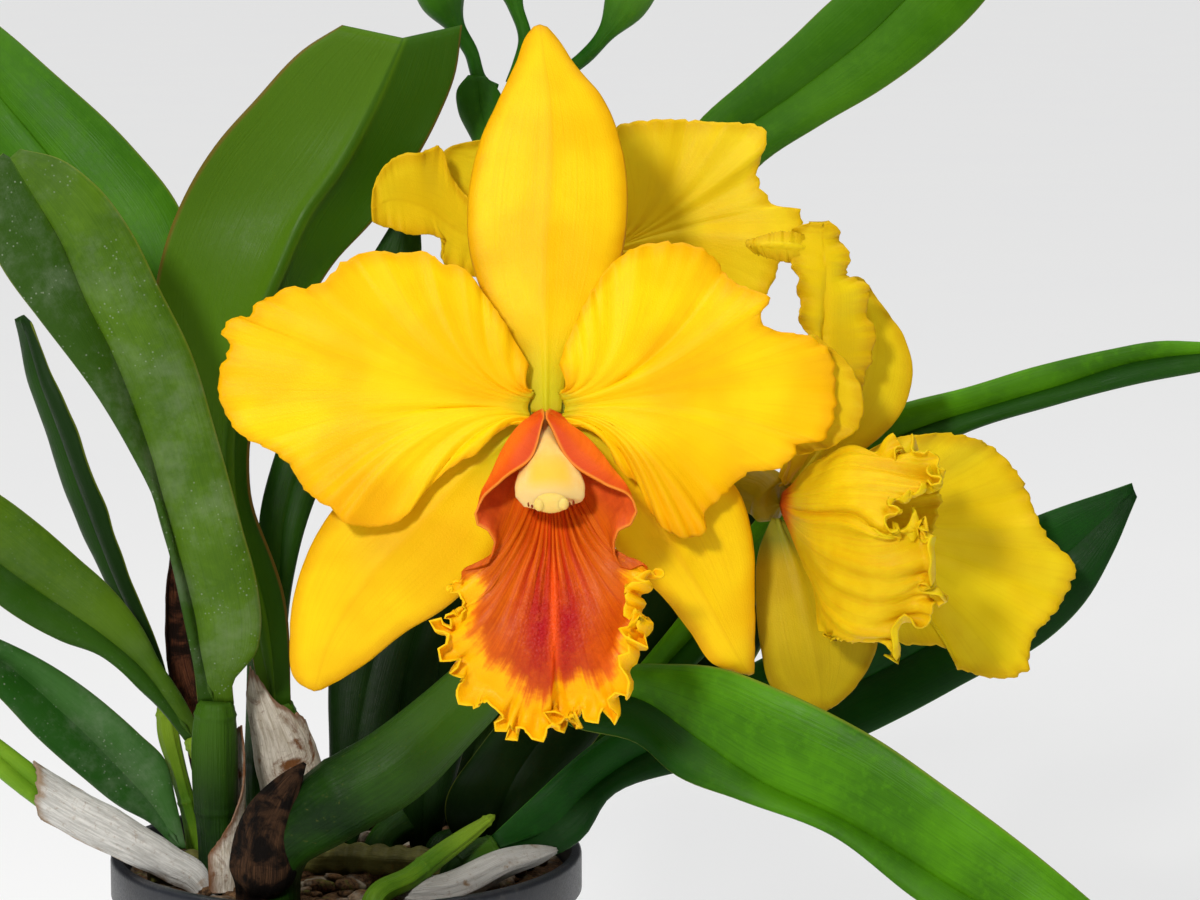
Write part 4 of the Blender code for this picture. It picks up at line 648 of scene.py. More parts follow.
def lip_paint(name, streaks=26.0):
    """Lip tissue. Marks: place (vein, share, millimetres from the rim), stripes, frill, patch, midline,
    throat, outside, and side, which is 1 on the inner face."""
    p = Paint(name, Subsurface_Weight=0.1, Subsurface_Scale=0.0015, Specular_IOR_Level=0.12)
    p.shader.inputs["Subsurface Radius"].default_value = (1.0, 0.4, 0.1)
    x, y, edge = p.parts(p.mark("place", "Vector"))[:3]
    room = p.room()
    cloud = p.noise(room, 330, 4.0, 0.65)
    wander = p.maths("MULTIPLY", p.noise(room, 160, 2.0), 2.4)
    phase = p.maths("ADD", p.maths("MULTIPLY", x, streaks * 2 * math.pi), wander)
    stripe = p.span(p.maths("SINE", phase), -0.9, 0.25)
    fine = p.noise(p.vector(p.maths("MULTIPLY", x, 230), p.maths("MULTIPLY", y, 3)), 1.0, 2.0)
    orange, dark = hue(244, 116, 12), hue(206, 62, 8)
    colour = p.mix(p.span(cloud, 0.3, 0.75), hue(214, 92, 10), hue(184, 66, 12))
    lined = p.mix(stripe, dark, orange)
    colour = p.mix(p.mark("stripes"), colour, lined)
    flank = p.maths("ABSOLUTE", p.maths("SUBTRACT", x, 0.5))
    colour = p.mix(p.span(flank, 0.06, 0.17, 0.0, 0.7), colour, hue(206, 98, 8))
    colour = p.mix(p.maths("MULTIPLY", p.span(fine, 0.42, 0.66), 0.42), colour, hue(166, 42, 8))
    colour = p.mix(p.maths("MULTIPLY", p.mark("throat"), 0.7), colour, hue(246, 92, 20))
    middle = p.maths("MULTIPLY", p.mark("patch"), p.span(cloud, 0.25, 0.6, 0.7, 1.0))
    colour = p.mix(middle, colour, hue(170, 12, 24))
    colour = p.mix(p.maths("MULTIPLY", p.mark("midline"), 0.85), colour, hue(240, 84, 20))
    frill = p.maths("ADD", p.mark("frill"), p.maths("MULTIPLY", p.maths("SUBTRACT", cloud, 0.5), 0.8))
    frill = p.maths("ADD", frill, p.maths("MULTIPLY", p.maths("SUBTRACT", fine, 0.5), 0.8))
    colour = p.mix(p.span(frill, 0.15, 0.55), colour, hue(232, 124, 12))
    colour = p.mix(p.span(frill, 0.4, 0.85), colour, hue(248, 184, 6))
    colour = p.mix(p.maths("MULTIPLY", p.span(edge, 0.1, 1.6, 0.6, 0.0), p.span(frill, 0.2, 0.5)), colour,
                   hue(255, 202, 14))
    outer = p.maths("MULTIPLY", p.mark("outside"), p.span(p.mark("side"), -0.2, 0.2, 0.0, 1.0))
    inner = p.maths("MULTIPLY", p.mark("outside"), p.span(p.mark("side"), -0.2, 0.2, 1.0, 0.0))
    colour = p.mix(p.maths("MULTIPLY", outer, 0.92), colour, p.mix(p.span(cloud, 0.3, 0.7), hue(226, 96, 34), hue(206, 78, 30)))
    colour = p.mix(p.maths("MULTIPLY", inner, 0.8), colour, p.mix(p.span(edge, 0.5, 7.0), hue(212, 62, 14), hue(246, 104, 22)))
    colour = p.mix(p.maths("MULTIPLY", p.span(edge, 0.1, 0.8, 1.0, 0.0), p.mark("outside")), colour,
                   hue(226, 128, 40))
    grain = p.noise(room, 2600, 2.0, 0.6)
    beads = p.cells(room, 1500)
    height = p.maths("ADD", p.maths("MULTIPLY", stripe, 0.4), p.maths("MULTIPLY", grain, 0.3))
    height = p.maths("ADD", height, p.maths("MULTIPLY", beads, p.maths("MULTIPLY", p.mark("patch"), -1.2)))
    normal = p.bump(height, 0.0003, 0.8)
    rough = p.span(grain, 0.3, 0.75, 0.5, 0.3)
    return p.finish(colour, rough, normal)


def leaf_paint(name, light, dark, under, dust=0.0, rim=hue(120, 130, 40), shine=0.34):
    """Leaf. Mark place is (side of the midrib -1 to 1, length in mm, share of length)."""
    p = Paint(name, Specular_IOR_Level=0.09)
    x, y, share = p.parts(p.mark("place", "Vector"))[:3]
    room = p.room()
    lines = p.noise(p.vector(p.maths("MULTIPLY", x, 38), p.maths("MULTIPLY", y, 0.03)), 1.0, 3.0, 0.6)
    broad = p.noise(room, 38, 3.0, 0.55)
    mottle = p.noise(room, 420, 4.0, 0.65)
    colour = p.mix(p.span(broad, 0.3, 0.7, 0.35, 0.9), dark, light)
    colour = p.mix(p.maths("MULTIPLY", p.span(lines, 0.4, 0.7), 0.22), colour, dark)
    colour = p.mix(p.maths("MULTIPLY", p.span(mottle, 0.45, 0.75), 0.4), colour, light)
    behind = p.span(p.mark("side"), -0.2, 0.2, 1.0, 0.0)
    colour = p.mix(p.maths("MULTIPLY", behind, 0.8), colour, under)
    # Painted shade: the shade mark turns a leaf's shaded halves to the darker green.
    colour = p.mix(p.mark("shade"), colour, dark)
    edge = p.maths("ABSOLUTE", x)
    colour = p.mix(p.maths("MULTIPLY", p.span(edge, 0.955, 0.995), 0.65), colour, rim)
    # Painted shade: darker green along the midrib, in its groove.
    colour = p.mix(p.span(edge, 0.0, 0.035, 0.55, 0.0), colour, dark)
    specks = p.cells(room, 900)
    specks = p.maths("MULTIPLY", p.span(specks, 0.10, 0.24, 1.0, 0.0), p.span(p.noise(room, 130, 3.0), 0.45, 0.62))
    film = p.maths("MULTIPLY", p.span(p.noise(room, 90, 5.0, 0.7), 0.42, 0.75), 0.4)
    grey = p.maths("MULTIPLY", p.maths("MAXIMUM", specks, film), dust)
    colour = p.mix(grey, colour, hue(150, 160, 140))
    height = p.maths("ADD", p.maths("MULTIPLY", lines, 0.5), p.maths("MULTIPLY", mottle, 0.35))
    normal = p.bump(height, 0.00035, 0.6)
    rough = p.maths("ADD", p.span(mottle, 0.3, 0.7, shine, shine + 0.14), p.maths("MULTIPLY", grey, 0.3))
    return p.finish(colour, rough, normal)


def skin_paint(name, light, dark, tip=None, shine=0.36, ribs=5.0, tan=hue(128, 110, 60)):
    """Pseudobulbs, stems and buds. Mark place is (turn in radians, length in mm, share)."""
    p = Paint(name, Specular_IOR_Level=0.11)
    x, y, share = p.parts(p.mark("place", "Vector"))[:3]
    room = p.room()
    ribbed = p.vector(p.maths("MULTIPLY", p.maths("SINE", x), ribs), p.maths("MULTIPLY", p.maths("COSINE", x), ribs),
                      p.maths("MULTIPLY", y, 0.04))
    lines = p.noise(ribbed, 2.2, 3.0, 0.6)
    broad = p.noise(room, 90, 3.0)
    mottle = p.noise(room, 700, 4.0, 0.7)
    colour = p.mix(p.span(broad, 0.3, 0.7), dark, light)
    colour = p.mix(p.maths("MULTIPLY", p.span(lines, 0.42, 0.7), 0.5), colour, dark)
    colour = p.mix(p.maths("MULTIPLY", p.span(mottle, 0.5, 0.8), 0.4), colour, light)
    colour = p.mix(p.maths("MULTIPLY", p.span(mottle, 0.62, 0.8), 0.35), colour, tan)
    if tip:
        colour = p.mix(p.span(share, 0.35, 0.95), colour, tip)
    height = p.maths("ADD", lines, p.maths("MULTIPLY", mottle, 0.4))
    return p.finish(colour, p.span(mottle, 0.3, 0.7, shine, shine + 0.16), p.bump(height, 0.0004, 0.6))


def husk_paint(name, pale, grey, brown, share=0.5):
    """Dry papery sheath with fibres along it. Mark place is (across 0 to 1, length in mm, edge mm)."""
    p = Paint(name, Specular_IOR_Level=0.1)
    x, y, edge = p.parts(p.mark("place", "Vector"))[:3]
    room = p.room()
    fibres = p.noise(p.vector(p.maths("MULTIPLY", x, 46), p.maths("MULTIPLY", y, 0.12)), 1.0, 4.0, 0.7)
    stain = p.noise(room, 150, 5.0, 0.65, 0.6)
    fleck = p.noise(room, 900, 3.0, 0.7)
    colour = p.mix(p.span(fibres, 0.36, 0.66), grey, pale)
    colour = p.mix(p.span(stain, 0.62 - 0.3 * share, 0.78 - 0.3 * share), colour, brown)
    colour = p.mix(p.maths("MULTIPLY", p.span(fleck, 0.55, 0.75), 0.5), colour, brown)
    border = p.maths("ADD", edge, p.maths("MULTIPLY", stain, 7.0))
    colour = p.mix(p.span(border, 4.0, 6.6, 0.85, 0.0), colour, brown)
    height = p.maths("ADD", fibres, p.maths("MULTIPLY", fleck, 0.35))
    return p.finish(colour, p.span(fibres, 0.3, 0.7, 0.7, 0.9), p.bump(height, 0.0006, 0.8))


def bark_paint():
    p = Paint("bark_look", Specular_IOR_Level=0.1)
    room = p.room()
    grain = p.noise(p.mark("place", "Vector"), 0.9, 5.0, 0.7)
    patch = p.noise(room, 120, 4.0, 0.6)
    moss = p.noise(room, 260, 4.0, 0.7)
    colour = p.mix(p.span(grain, 0.35, 0.65), hue(48, 34, 24), hue(118, 88, 60))
    colour = p.mix(p.span(patch, 0.48, 0.68), colour, hue(160, 150, 132))
    colour = p.mix(p.maths("MULTIPLY", p.span(moss, 0.56, 0.68), 0.8), colour, hue(96, 100, 44))
    height = p.maths("ADD", grain, p.maths("MULTIPLY", moss, 0.5))
    return p.finish(colour, p.span(grain, 0.3, 0.7, 0.72, 0.95), p.bump(height, 0.0008, 0.9))


def pot_paint():
    p = Paint("pot_look", Specular_IOR_Level=0.45)
    room = p.room()
    cloud = p.noise(room, 60, 4.0, 0.6)
    fine = p.noise(room, 2400, 3.0, 0.6)
    dust = p.maths("MULTIPLY", p.span(p.noise(room, 210, 6.0, 0.75), 0.52, 0.8), 0.35)
    colour = p.mix(p.span(cloud, 0.3, 0.7), hue(18, 20, 26), hue(34, 37, 44))
    colour = p.mix(dust, colour, hue(105, 102, 98))
    x, y, z = p.parts(room)[:3]
    splash = p.maths("MULTIPLY", p.span(z, 0.0, 0.03, 1.0, 0.0), p.span(cloud, 0.4, 0.7))
    colour = p.mix(p.maths("MULTIPLY", splash, 0.35), colour, hue(120, 100, 78))
    rough = p.maths("ADD", p.span(fine, 0.3, 0.7, 0.34, 0.48), p.maths("MULTIPLY", dust, 0.5))
    return p.finish(colour, rough, p.bump(fine, 0.00012, 0.5))


def floor_paint():
    p = Paint("floor_look", Roughness=0.8, Specular_IOR_Level=0.2)
    tone = p.noise(p.room(), 6, 3.0)
    return p.finish(p.mix(p.span(tone, 0.3, 0.7), (0.945, 0.945, 0.945), (0.95, 0.95, 0.946)))


# Sheets of tissue

def margin_distance(grid, open_rows=False):
    """Millimetres from each grid point to the sheet's free edges: its sides and its last row.

    With open_rows set, the sheet runs from its first column to its last, and the rows are its sides.
    """
    if open_rows:
        return margin_distance(grid.swapaxes(0, 1)).swapaxes(0, 1)
    across = np.zeros(grid.shape[:2])
    across[:, 1:] = np.cumsum(np.linalg.norm(np.diff(grid, axis=1), axis=2), axis=1)
    along = np.zeros(grid.shape[:2])
    along[1:] = np.cumsum(np.linalg.norm(np.diff(grid, axis=0), axis=2), axis=0)
    return np.minimum(np.minimum(across, across[:, -1:] - across), along[-1:] - along)


def even(count, crowd=0.0):
    """Fractions 0 to 1, closer together towards the end where crowd is above 0."""
    t = np.linspace(0, 1, count)
    return t + crowd * t * (1 - t)


def tissue_marks(grid, open_rows, x, y, green, shade):
    edge = margin_distance(grid, open_rows)
    shape = grid.shape[:2]
    place = np.stack([np.broadcast_to(x, shape), np.broadcast_to(y, shape), edge], -1)
    return {"place": place, "green": np.broadcast_to(green, shape).copy(),
            "shade": np.broadcast_to(shade, shape).copy()}


def sepal(name, lines, paint, nodes=(), along=110, across=44, green=0.0, wave=0.35, seed=1,
          thickness=0.6, keel=0.5, roll=0.6, frill=0.0):
    """A sepal lofted over lines that run from its base to its tip, left to right."""
    t, v = even(along, 0.25), np.linspace(0, 1, across)
    rows = np.stack([through(line, t) for line in lines])
    flat = world(through(rows, v, at=np.linspace(0, 1, len(lines))).swapaxes(0, 1))
    edge = margin_distance(flat)
    ruffle = [0.7 * ripple(t * 70, 10.0, seed + k) + 0.5 * ripple(t * 70, 4.2, seed + k + 1) for k in (4, 6)]
    ruffle = np.where(v < 0.5, ruffle[0][:, None], ruffle[1][:, None])
    ruffle = ruffle * frill * step(0.05, 0.25, t)[:, None]
    flat = flat + unit(np.gradient(flat, axis=1)) * (0.5 * np.sign(v - 0.5) * ruffle * np.exp(-edge / 1.6))[..., None]
    normal = towards(normals(flat))
    side = np.abs(v - 0.5)[None, :] * 2
    lift = keel * hill(side, 0, 0.13) * step(0.95, 0.5, t)[:, None]
    lift = lift + roll * np.exp(-edge / 1.6) * step(0.0, 0.15, t)[:, None]
    lift = lift + wave * lumps(flat, 13.0, seed, 2) * step(0.0, 0.12, t)[:, None]
    lift = lift + np.roll(ruffle, 2, axis=0) * np.exp(-edge / 2.4)
    lift = lift + 0.35 * wave * ripple(t * 60, 6.0, seed)[:, None] * np.exp(-edge / 1.5) * step(0, 0.1, t)[:, None]
    grid = flat + normal * lift[..., None]
    thick = thickness * (0.45 + 0.55 * step(0, 0.9, edge)) + 0.5 * abs(keel) * hill(side, 0, 0.1) * (1 - t[:, None])
    fresh = green * step(0.28, 0.04, t)[:, None] * np.ones_like(edge)
    shade = 0.35 * step(2.5, 0.3, edge) + 0.25 * hill(side, 0, 0.05) * step(0.2, 0.35, t)[:, None]
    marks = tissue_marks(grid, False, v[None, :], t[:, None], fresh, shade)
    return shell(name, grid, thick, paint, nodes, marks)


def blurred(points, s, width):
    """Points along a line smoothed over a width in millimetres, with its ends kept."""
    weight = np.exp(-((s[:, None] - s[None, :]) / width) ** 2)
    smooth = weight @ points / weight.sum(axis=1, keepdims=True)
    keep = (np.exp(-(s / width) ** 2) + np.exp(-((s[-1] - s) / width) ** 2))[:, None]
    return smooth * (1 - keep) + points * keep


def petal(name, claw, margin, paint, nodes=(), dish=2.4, veins=170, steps=52, seed=1, frill=0.5,
          wavelength=9.0, depth=3.0, swell=1.2, pleats=(), creases=(), green=0.0, jitter=0.3, thickness=0.45,
          shades=()):
    """A petal whose veins spread from its claw to the points of its margin.

    frill is the height of its margin's waves and depth how far in they reach. pleats are (place on
    the margin, width, height, wavelength) and creases (vein, width, height, start, end).
    """
    u, t = np.linspace(0, 1, veins), even(steps, 0.3)
    foot, rim = through(claw, u), through(margin, u)
    s = np.concatenate([[0], np.cumsum(np.linalg.norm(np.diff(rim, axis=0), axis=1))])
    calm = step(0.0, 0.05, u) * step(1.0, 0.95, u)
    reach = unit(rim.mean(axis=0) - foot.mean(axis=0))
    out = unit(rim - foot)
    rim = rim + out * (jitter * ripple(s, 3.1, seed + 5) * calm)[:, None]
    broad = blurred(rim, s, 7.0)
    length = np.linalg.norm(broad - foot, axis=1)
    bend = foot + reach * (length * 0.45)[:, None]
    bend[:, 2] = foot[:, 2] * 0.3 + broad[:, 2] * 0.7 - dish
    a, b, c = (foot[:, None], bend[:, None], broad[:, None])
    w = t[None, :, None]
    flat = (1 - w)**2 * a + 2 * w * (1 - w) * b + w**2 * c
    flat = world(flat + (rim - broad)[:, None] * step(0.45, 1.0, w)**1.5)
    normal = towards(normals(flat))
    inward = (1 - t)[None, :] * length[:, None]
    lift = frill * (ripple(s, wavelength, seed) * calm)[:, None] * np.exp(-inward / depth)
    lift = lift + 0.5 * frill * (ripple(s, wavelength / 2.7, seed + 1) * calm)[:, None] * np.exp(-inward / (depth * 0.35))
    lift = lift + 0.14 * (ripple(s, 1.5, seed + 2) * calm)[:, None] * np.exp(-inward / 0.8)
    lift = lift + swell * (ripple(s, 31.0, seed + 3) * calm)[:, None] * np.exp(-inward / 16.0)
    lift = lift + 0.6 * lumps(flat, 17.0, seed, 2) * step(0.05, 0.4, t)[None, :]
    for where, width, height, pitch in pleats:
        around = hill(s, where * s[-1], width)
        bent = s[:, None] - where * s[-1] + 0.12 * inward
        lift = lift + height * around[:, None] * np.cos(2 * np.pi * bent / pitch) * np.exp(-inward / 9.0)
    for vein, width, height, start, end in creases:
        along = step(start - 0.12, start + 0.08, t) * step(end + 0.08, end - 0.1, t)
        lift = lift + height * hill(u, vein, width)[:, None] * along[None, :]
    grid = flat + normal * lift[..., None]
    marks = tissue_marks(grid, True, u[:, None], t[None, :], green * step(0.16, 0.0, t)[None, :], 0.0)
    for vein, width, strength, start, end in shades:
        along = step(start - 0.1, start + 0.1, t) * step(end + 0.1, end - 0.1, t)
        marks["shade"] += strength * hill(u, vein, width)[:, None] * along[None, :]
    thick = thickness * (0.5 + 0.5 * step(0, 0.8, inward)) + 0.5 * step(0.2, 0.0, t)[None, :]
    return shell(name, grid, thick, paint, nodes, marks)


def leaf(name, base, lines, paint, nodes=(), face=-1, along=72, bulge=1.2, thickness=1.7, groove=0.5,
         dark=(0.0, 0.0), fade=0.0, seed=1, slot="leaf_green"):
    """A channelled leaf from its base points and the lines of its left edge, midrib and right edge.

    face is -1 where the upper side faces the viewer and 1 where the underside does. dark is how much
    painted shade its left and right halves get, in the darker green, and fade how much of that is gone at its tip.
    """
    t = even(along, 0.12)
    left, middle, right = (through(np.array([start, *line]), t) for start, line in zip(base, lines))
    left, middle, right = world(left), world(middle), world(right)
    half = np.array([0, 0.03, 0.07, 0.12, 0.2, 0.29, 0.39, 0.49, 0.59, 0.69, 0.78, 0.86, 0.92, 0.96, 0.985, 1.0])
    v = np.concatenate([-half[::-1], half[1:]])
    a = np.abs(v)[None, :, None]
    edge = np.where((v < 0)[None, :, None], left[:, None], right[:, None])
    flat = middle[:, None] * (1 - a) + edge * a
    up = unit(np.cross(np.gradient(middle, axis=0), right - left)) * face
    body = (step(0.0, 0.18, t) * step(1.0, 0.82, t))[:, None]
    a = np.abs(v)[None, :]
    lift = bulge * 4 * a * (1 - a) * body - groove * np.exp(-(a / 0.05)**2) * body - 0.5 * a**8 * body
    lift = lift + 0.4 * lumps(flat, 30.0, seed, 3) * body
    lift = lift + 0.25 * (ripple(t * 120, 34.0, seed)[:, None] * a**3) * body
    grid = flat + up[:, None] * lift[..., None]
    distance = margin_distance(grid)
    taper = 0.3 + 0.7 * np.sqrt(np.clip(distance / 1.2, 0, 1))
    thick = (thickness * (1 - 0.35 * a**2) + 0.9 * np.exp(-(a / 0.09)**2) * (1 - 0.7 * t[:, None])) * taper
    length = np.concatenate([[0], np.cumsum(np.linalg.norm(np.diff(middle, axis=0), axis=1))])
    shape = grid.shape[:2]
    shade = np.where(v < 0, dark[0], dark[1])[None, :] * step(0.02, 0.1, np.abs(v))[None, :]
    shade = shade * (1 - fade * step(0.22, 0.4, t))[:, None]
    marks = {"place": np.stack([np.broadcast_to(v[None, :], shape), np.broadcast_to(length[:, None], shape),
                                np.broadcast_to(t[:, None], shape)], -1),
             "shade": np.broadcast_to(shade, shape).copy()}
    piece = shell(name, grid, thick, paint, nodes, marks)
    if face < 0:
        sides = piece.data.attributes["side"].data
        values = np.empty(len(sides), dtype=np.float32)
        sides.foreach_get("value", values)
        sides.foreach_set("value", -values)
    return piece


def husk(name, path, arc, paint, nodes=(), thickness=0.4, rings=44, across=52, top=((0, 1), (1, 1)), tear=0.02,
         seed=1, crumple=0.3):
    """A dry sheath: part of a tube about a path. top gives how far up it reaches at places across it."""
    t = np.linspace(0, 1, rings)
    points = through(path, t)
    places, radii = points[:, :3], points[:, 3]
    tangent = unit(np.gradient(places, axis=0))
    side = RIGHT if abs(tangent[0][0]) < 0.9 else np.array([0.0, 1.0, 0.0])
    length = np.concatenate([[0], np.cumsum(np.linalg.norm(np.diff(places, axis=0), axis=1))])
    grid = np.zeros((rings, across, 3))
    x = np.linspace(0, 1, across)
    top = np.array(top, dtype=float)
    ends = np.interp(x, top[:, 0], top[:, 1]) * (1 - tear * np.abs(ripple(x * 40, 9.0, seed + 2, 3)))
    for k in range(rings):
        side = unit(side - tangent[k] * np.dot(side, tangent[k]))
        front = np.cross(tangent[k], side)
        turn = np.radians(arc[0] + (arc[1] - arc[0]) * x)
        grid[k] = places[k] + radii[k] * (np.outer(np.cos(turn), side) + np.outer(np.sin(turn), front))
    stretched = np.empty_like(grid)
    for j in range(across):
        stretched[:, j] = through(grid[:, j], t * ends[j], at=t)
    normal = normals(stretched)
    bumps = lumps(stretched, 6.0, seed + 3, 3) * crumple + 0.06 * ripple(x * 30, 1.4, seed + 4)[None, :]
    outward = np.sign(np.einsum("ijk,ijk->ij", normal, stretched - places[:, None]).mean())
    grid = stretched + normal * (outward * bumps)[..., None]
    shape = grid.shape[:2]
    place = np.stack([np.broadcast_to(x[None, :], shape), np.broadcast_to(length[:, None], shape),
                      margin_distance(grid)], -1)
    return shell(name, grid, thickness, paint, nodes, {"place": place})


# Flowers

def deepen(outline, margin):
    """Outline points in millimetres (across, up) with the depths of the nearest stretch of a margin."""
    margin = np.asarray(margin, dtype=float)
    dense = through(margin, np.linspace(0, 1, 400))
    made = []
    for x, y in outline:
        nearest = dense[np.argmin(np.hypot(dense[:, 0] - x, dense[:, 1] - y))]
        made.append((x, y, nearest[2]))
    return made


LEFT_PETAL_OUTLINE = [
    (105.6, 107), (103, 112), (99.5, 117.5), (96, 122.4), (92.6, 126.4), (88.6, 127.2), (86, 129.4), (79, 129.4),
    (75.2, 129.8), (69, 128), (64.4, 123.4), (60.6, 122.2), (58.8, 122.8), (54.6, 121), (50.8, 118.8),
    (49.6, 116.4), (47.6, 116.8), (44.2, 113.8), (45.8, 110.8), (44.2, 106.6), (44, 100.4), (45.2, 97),
    (49, 92.4), (53.6, 90.2), (57.8, 87), (59, 84.8), (61.6, 81.4), (66.6, 78), (68.4, 76), (73.4, 74.6),
    (79.6, 75.6), (84.2, 80.2), (90.4, 87), (96, 92), (101.6, 95.2), (105, 95.2)]
RIGHT_PETAL_OUTLINE = [
    (113.2, 95.4), (116, 94.4), (119.8, 92.4), (123.4, 88), (127, 83), (129.6, 78.4), (134, 73.6),
    (137.6, 72.4), (140.6, 73.6), (141.2, 77.6), (144, 80.2), (147.2, 83.2), (149.4, 85.2), (155.8, 86.4),
    (158.6, 88.8), (159, 90.4), (164.6, 92), (166.8, 96.8), (167.2, 103), (166, 109.4), (161, 113),
    (158, 113.4), (152.8, 115), (151.8, 116.6), (153.4, 120.6), (149.8, 122.2), (146.2, 124.2), (142.6, 128.8),
    (139.6, 130.6), (134, 131.4), (128.8, 131), (124.2, 128.8), (116.6, 118.8), (113.6, 112), (112, 107)]

LIP_RIM = [
    (2.5, 98, 80.8), (2.8, 96, 79), (3.0, 95, 77.2), (3.25, 95.4, 75), (3.45, 97.4, 73.8), (3.65, 98.8, 71.6),
    (3.8, 98.4, 69), (3.95, 97.6, 67.2), (4.15, 95.4, 66.4), (4.4, 92.6, 65.8), (4.7, 91.2, 63), (5.0, 90, 61.2), (5.15, 90.8, 59.2),
    (5.3, 91.8, 56.2), (5.45, 89.4, 57.2), (5.65, 88.4, 55), (5.85, 87.6, 51.4), (6.0, 88, 48.4),
    (6.2, 90.6, 45.4), (6.35, 91.2, 43.6), (6.6, 92.6, 41), (6.8, 94.6, 39.6), (7.05, 98, 36.8),
    (7.3, 101.4, 35), (7.4, 102.4, 33.6), (7.7, 106.2, 33.2), (8.0, 110, 31.8), (8.1, 110.8, 34.2),
    (8.2, 111.2, 36.8), (8.4, 114, 35.2), (8.6, 116.6, 36.2), (8.75, 118.6, 37.4), (9.0, 121.8, 36.2),
    (9.3, 126, 38.4), (9.6, 128.6, 42), (9.8, 128.8, 45.2), (10.1, 131.8, 49.4), (10.4, 132.8, 53.6),
    (10.7, 132.8, 58.8), (11.0, 133, 62.4), (11.4, 131, 65), (11.7, 128.4, 67), (11.9, 126, 66), (12.05, 124.2, 66.8), (12.2, 123.2, 69),
    (12.35, 123, 71.6), (12.55, 123.8, 73.8), (12.75, 126.2, 75), (13.0, 127.4, 77.6), (13.2, 126.6, 79.4),
    (13.5, 124.6, 81.4)]


def make_main_lip(paint):
    """The main bloom's lip: side lobes that close over the column and a broad frilled blade."""
    net = np.array(LIPS["main_lip"])
    u = np.linspace(0, 16, 460)
    t = np.concatenate([np.linspace(0, 0.8, 28)[:-1], np.linspace(0.8, 1, 41)])
    veins = through(net, u, at=np.arange(17.0))
    grid = through(veins.swapaxes(0, 1), t, at=np.linspace(0, 1, 5))
    detail = np.array(LIP_RIM)
    wanted = np.stack([np.interp(u, detail[:, 0], detail[:, k]) for k in (1, 2)], -1)
    offset = (wanted - grid[-1, :, :2]) * (step(2.5, 3.0, u) * step(13.5, 13.0, u))[:, None]
    grid[:, :, :2] += offset[None] * (step(0.5, 1.0, t)**1.3)[:, None, None]
    flat = world(grid)
    normal = towards(normals(flat))
    length = np.linalg.norm(flat[-1] - flat[0], axis=1)
    s = np.concatenate([[0], np.cumsum(np.linalg.norm(np.diff(flat[-1], axis=0), axis=1))])
    inward = (1 - t)[:, None] * length[None, :]
    frilled = step(4.3, 5.0, u) * step(11.8, 11.2, u)
    strong = frilled * (1 + 0.35 * hill(u, 10.2, 1.2))
    along = unit(np.gradient(flat, axis=1))
    radial = unit(np.gradient(flat, axis=0))
    lift = 0.5 * lumps(flat, 12, 3, 2) * step(0.1, 0.4, t)[:, None] + 1.4 * ripple(s, 24, 12) * frilled * np.exp(-inward / 9)
    grooves = 0.28 * np.cos(2 * np.pi * u * 2.2)[None, :] * step(0.12, 0.3, t)[:, None] * step(0.75, 0.5, t)[:, None]
    lift = lift + grooves * step(4.2, 5.2, u) * step(11.8, 10.8, u)
    places = flat + normal * lift[..., None]
    fold = step(9.0, 9.7, u) * step(11.4, 10.6, u)
    places = curled(places, 95 * fold, 0.82, t)
    places = curled(places, (62 + 20 * ripple(s, 30, 15)) * frilled * (1 - 0.6 * fold), 0.925, t)
    normal = normals(places)
    normal = normal * -np.sign((normal[:30] @ AHEAD).mean())
    along = unit(np.gradient(places, axis=1))
    radial = unit(np.gradient(places, axis=0))
    phase = 2 * np.pi * s / 5.2 + 2.2 * ripple(s, 23, 5)
    vigour = strong * np.clip(0.8 + 0.35 * ripple(s, 11, 6), 0.35, 1.3)
    near = np.exp(-(inward / 3.4)**1.5)
    lift = 2.0 * np.sin(phase) * vigour * near
    side = -0.85 * np.sin(2 * phase) * vigour * np.exp(-inward / 2.2)
    quick = 2 * np.pi * s / 2.2 + 2.4 * ripple(s, 9, 8)
    lift = lift + 0.5 * np.sin(quick) * strong * np.exp(-inward / 1.4)
    side = side - 0.18 * np.sin(2 * quick) * strong * np.exp(-inward / 1.0)
    lift = lift + 0.14 * ripple(s, 1.1, 11) * frilled * np.exp(-inward / 0.8)
    out = -0.3 * (1 + np.cos(2 * phase))**2 * vigour * np.exp(-inward / 2.4)
    places = places + normal * lift[..., None] + along * side[..., None] + radial * out[..., None]
    x, y = grid[..., 0], grid[..., 1]
    tt = np.broadcast_to(t[:, None], x.shape)
    uu = np.broadcast_to(u[None, :], x.shape)
    outer = step(4.0, 3.3, uu) + step(12.0, 12.7, uu)
    gap = np.abs(x - 110.8)
    patch = np.exp(-((gap - 2.4) / 4.2)**2) * np.exp(-((y - 55) / 12)**2)
    midline = np.exp(-(gap / 1.0)**2) * step(72, 62, y) * step(38, 50, y)
    throat = step(0.5, 0.25, tt)
    frill = step(12.0, 3.5, inward + 1.2 * lumps(flat, 5, 9, 2)) * frilled
    stripes = step(0.12, 0.3, tt) * step(0.78, 0.5, tt) * (1 - outer)
    edge = margin_distance(places)
    marks = {"place": np.stack([uu / 16, tt, edge], -1), "stripes": stripes, "throat": throat, "patch": patch,
             "midline": midline, "frill": frill, "outside": np.clip(outer, 0, 1)}
    thick = 0.4 + 0.5 * step(0.2, 0.0, tt)
    shell("main_lip_look", places, thick, paint, ["main_lip"], marks)


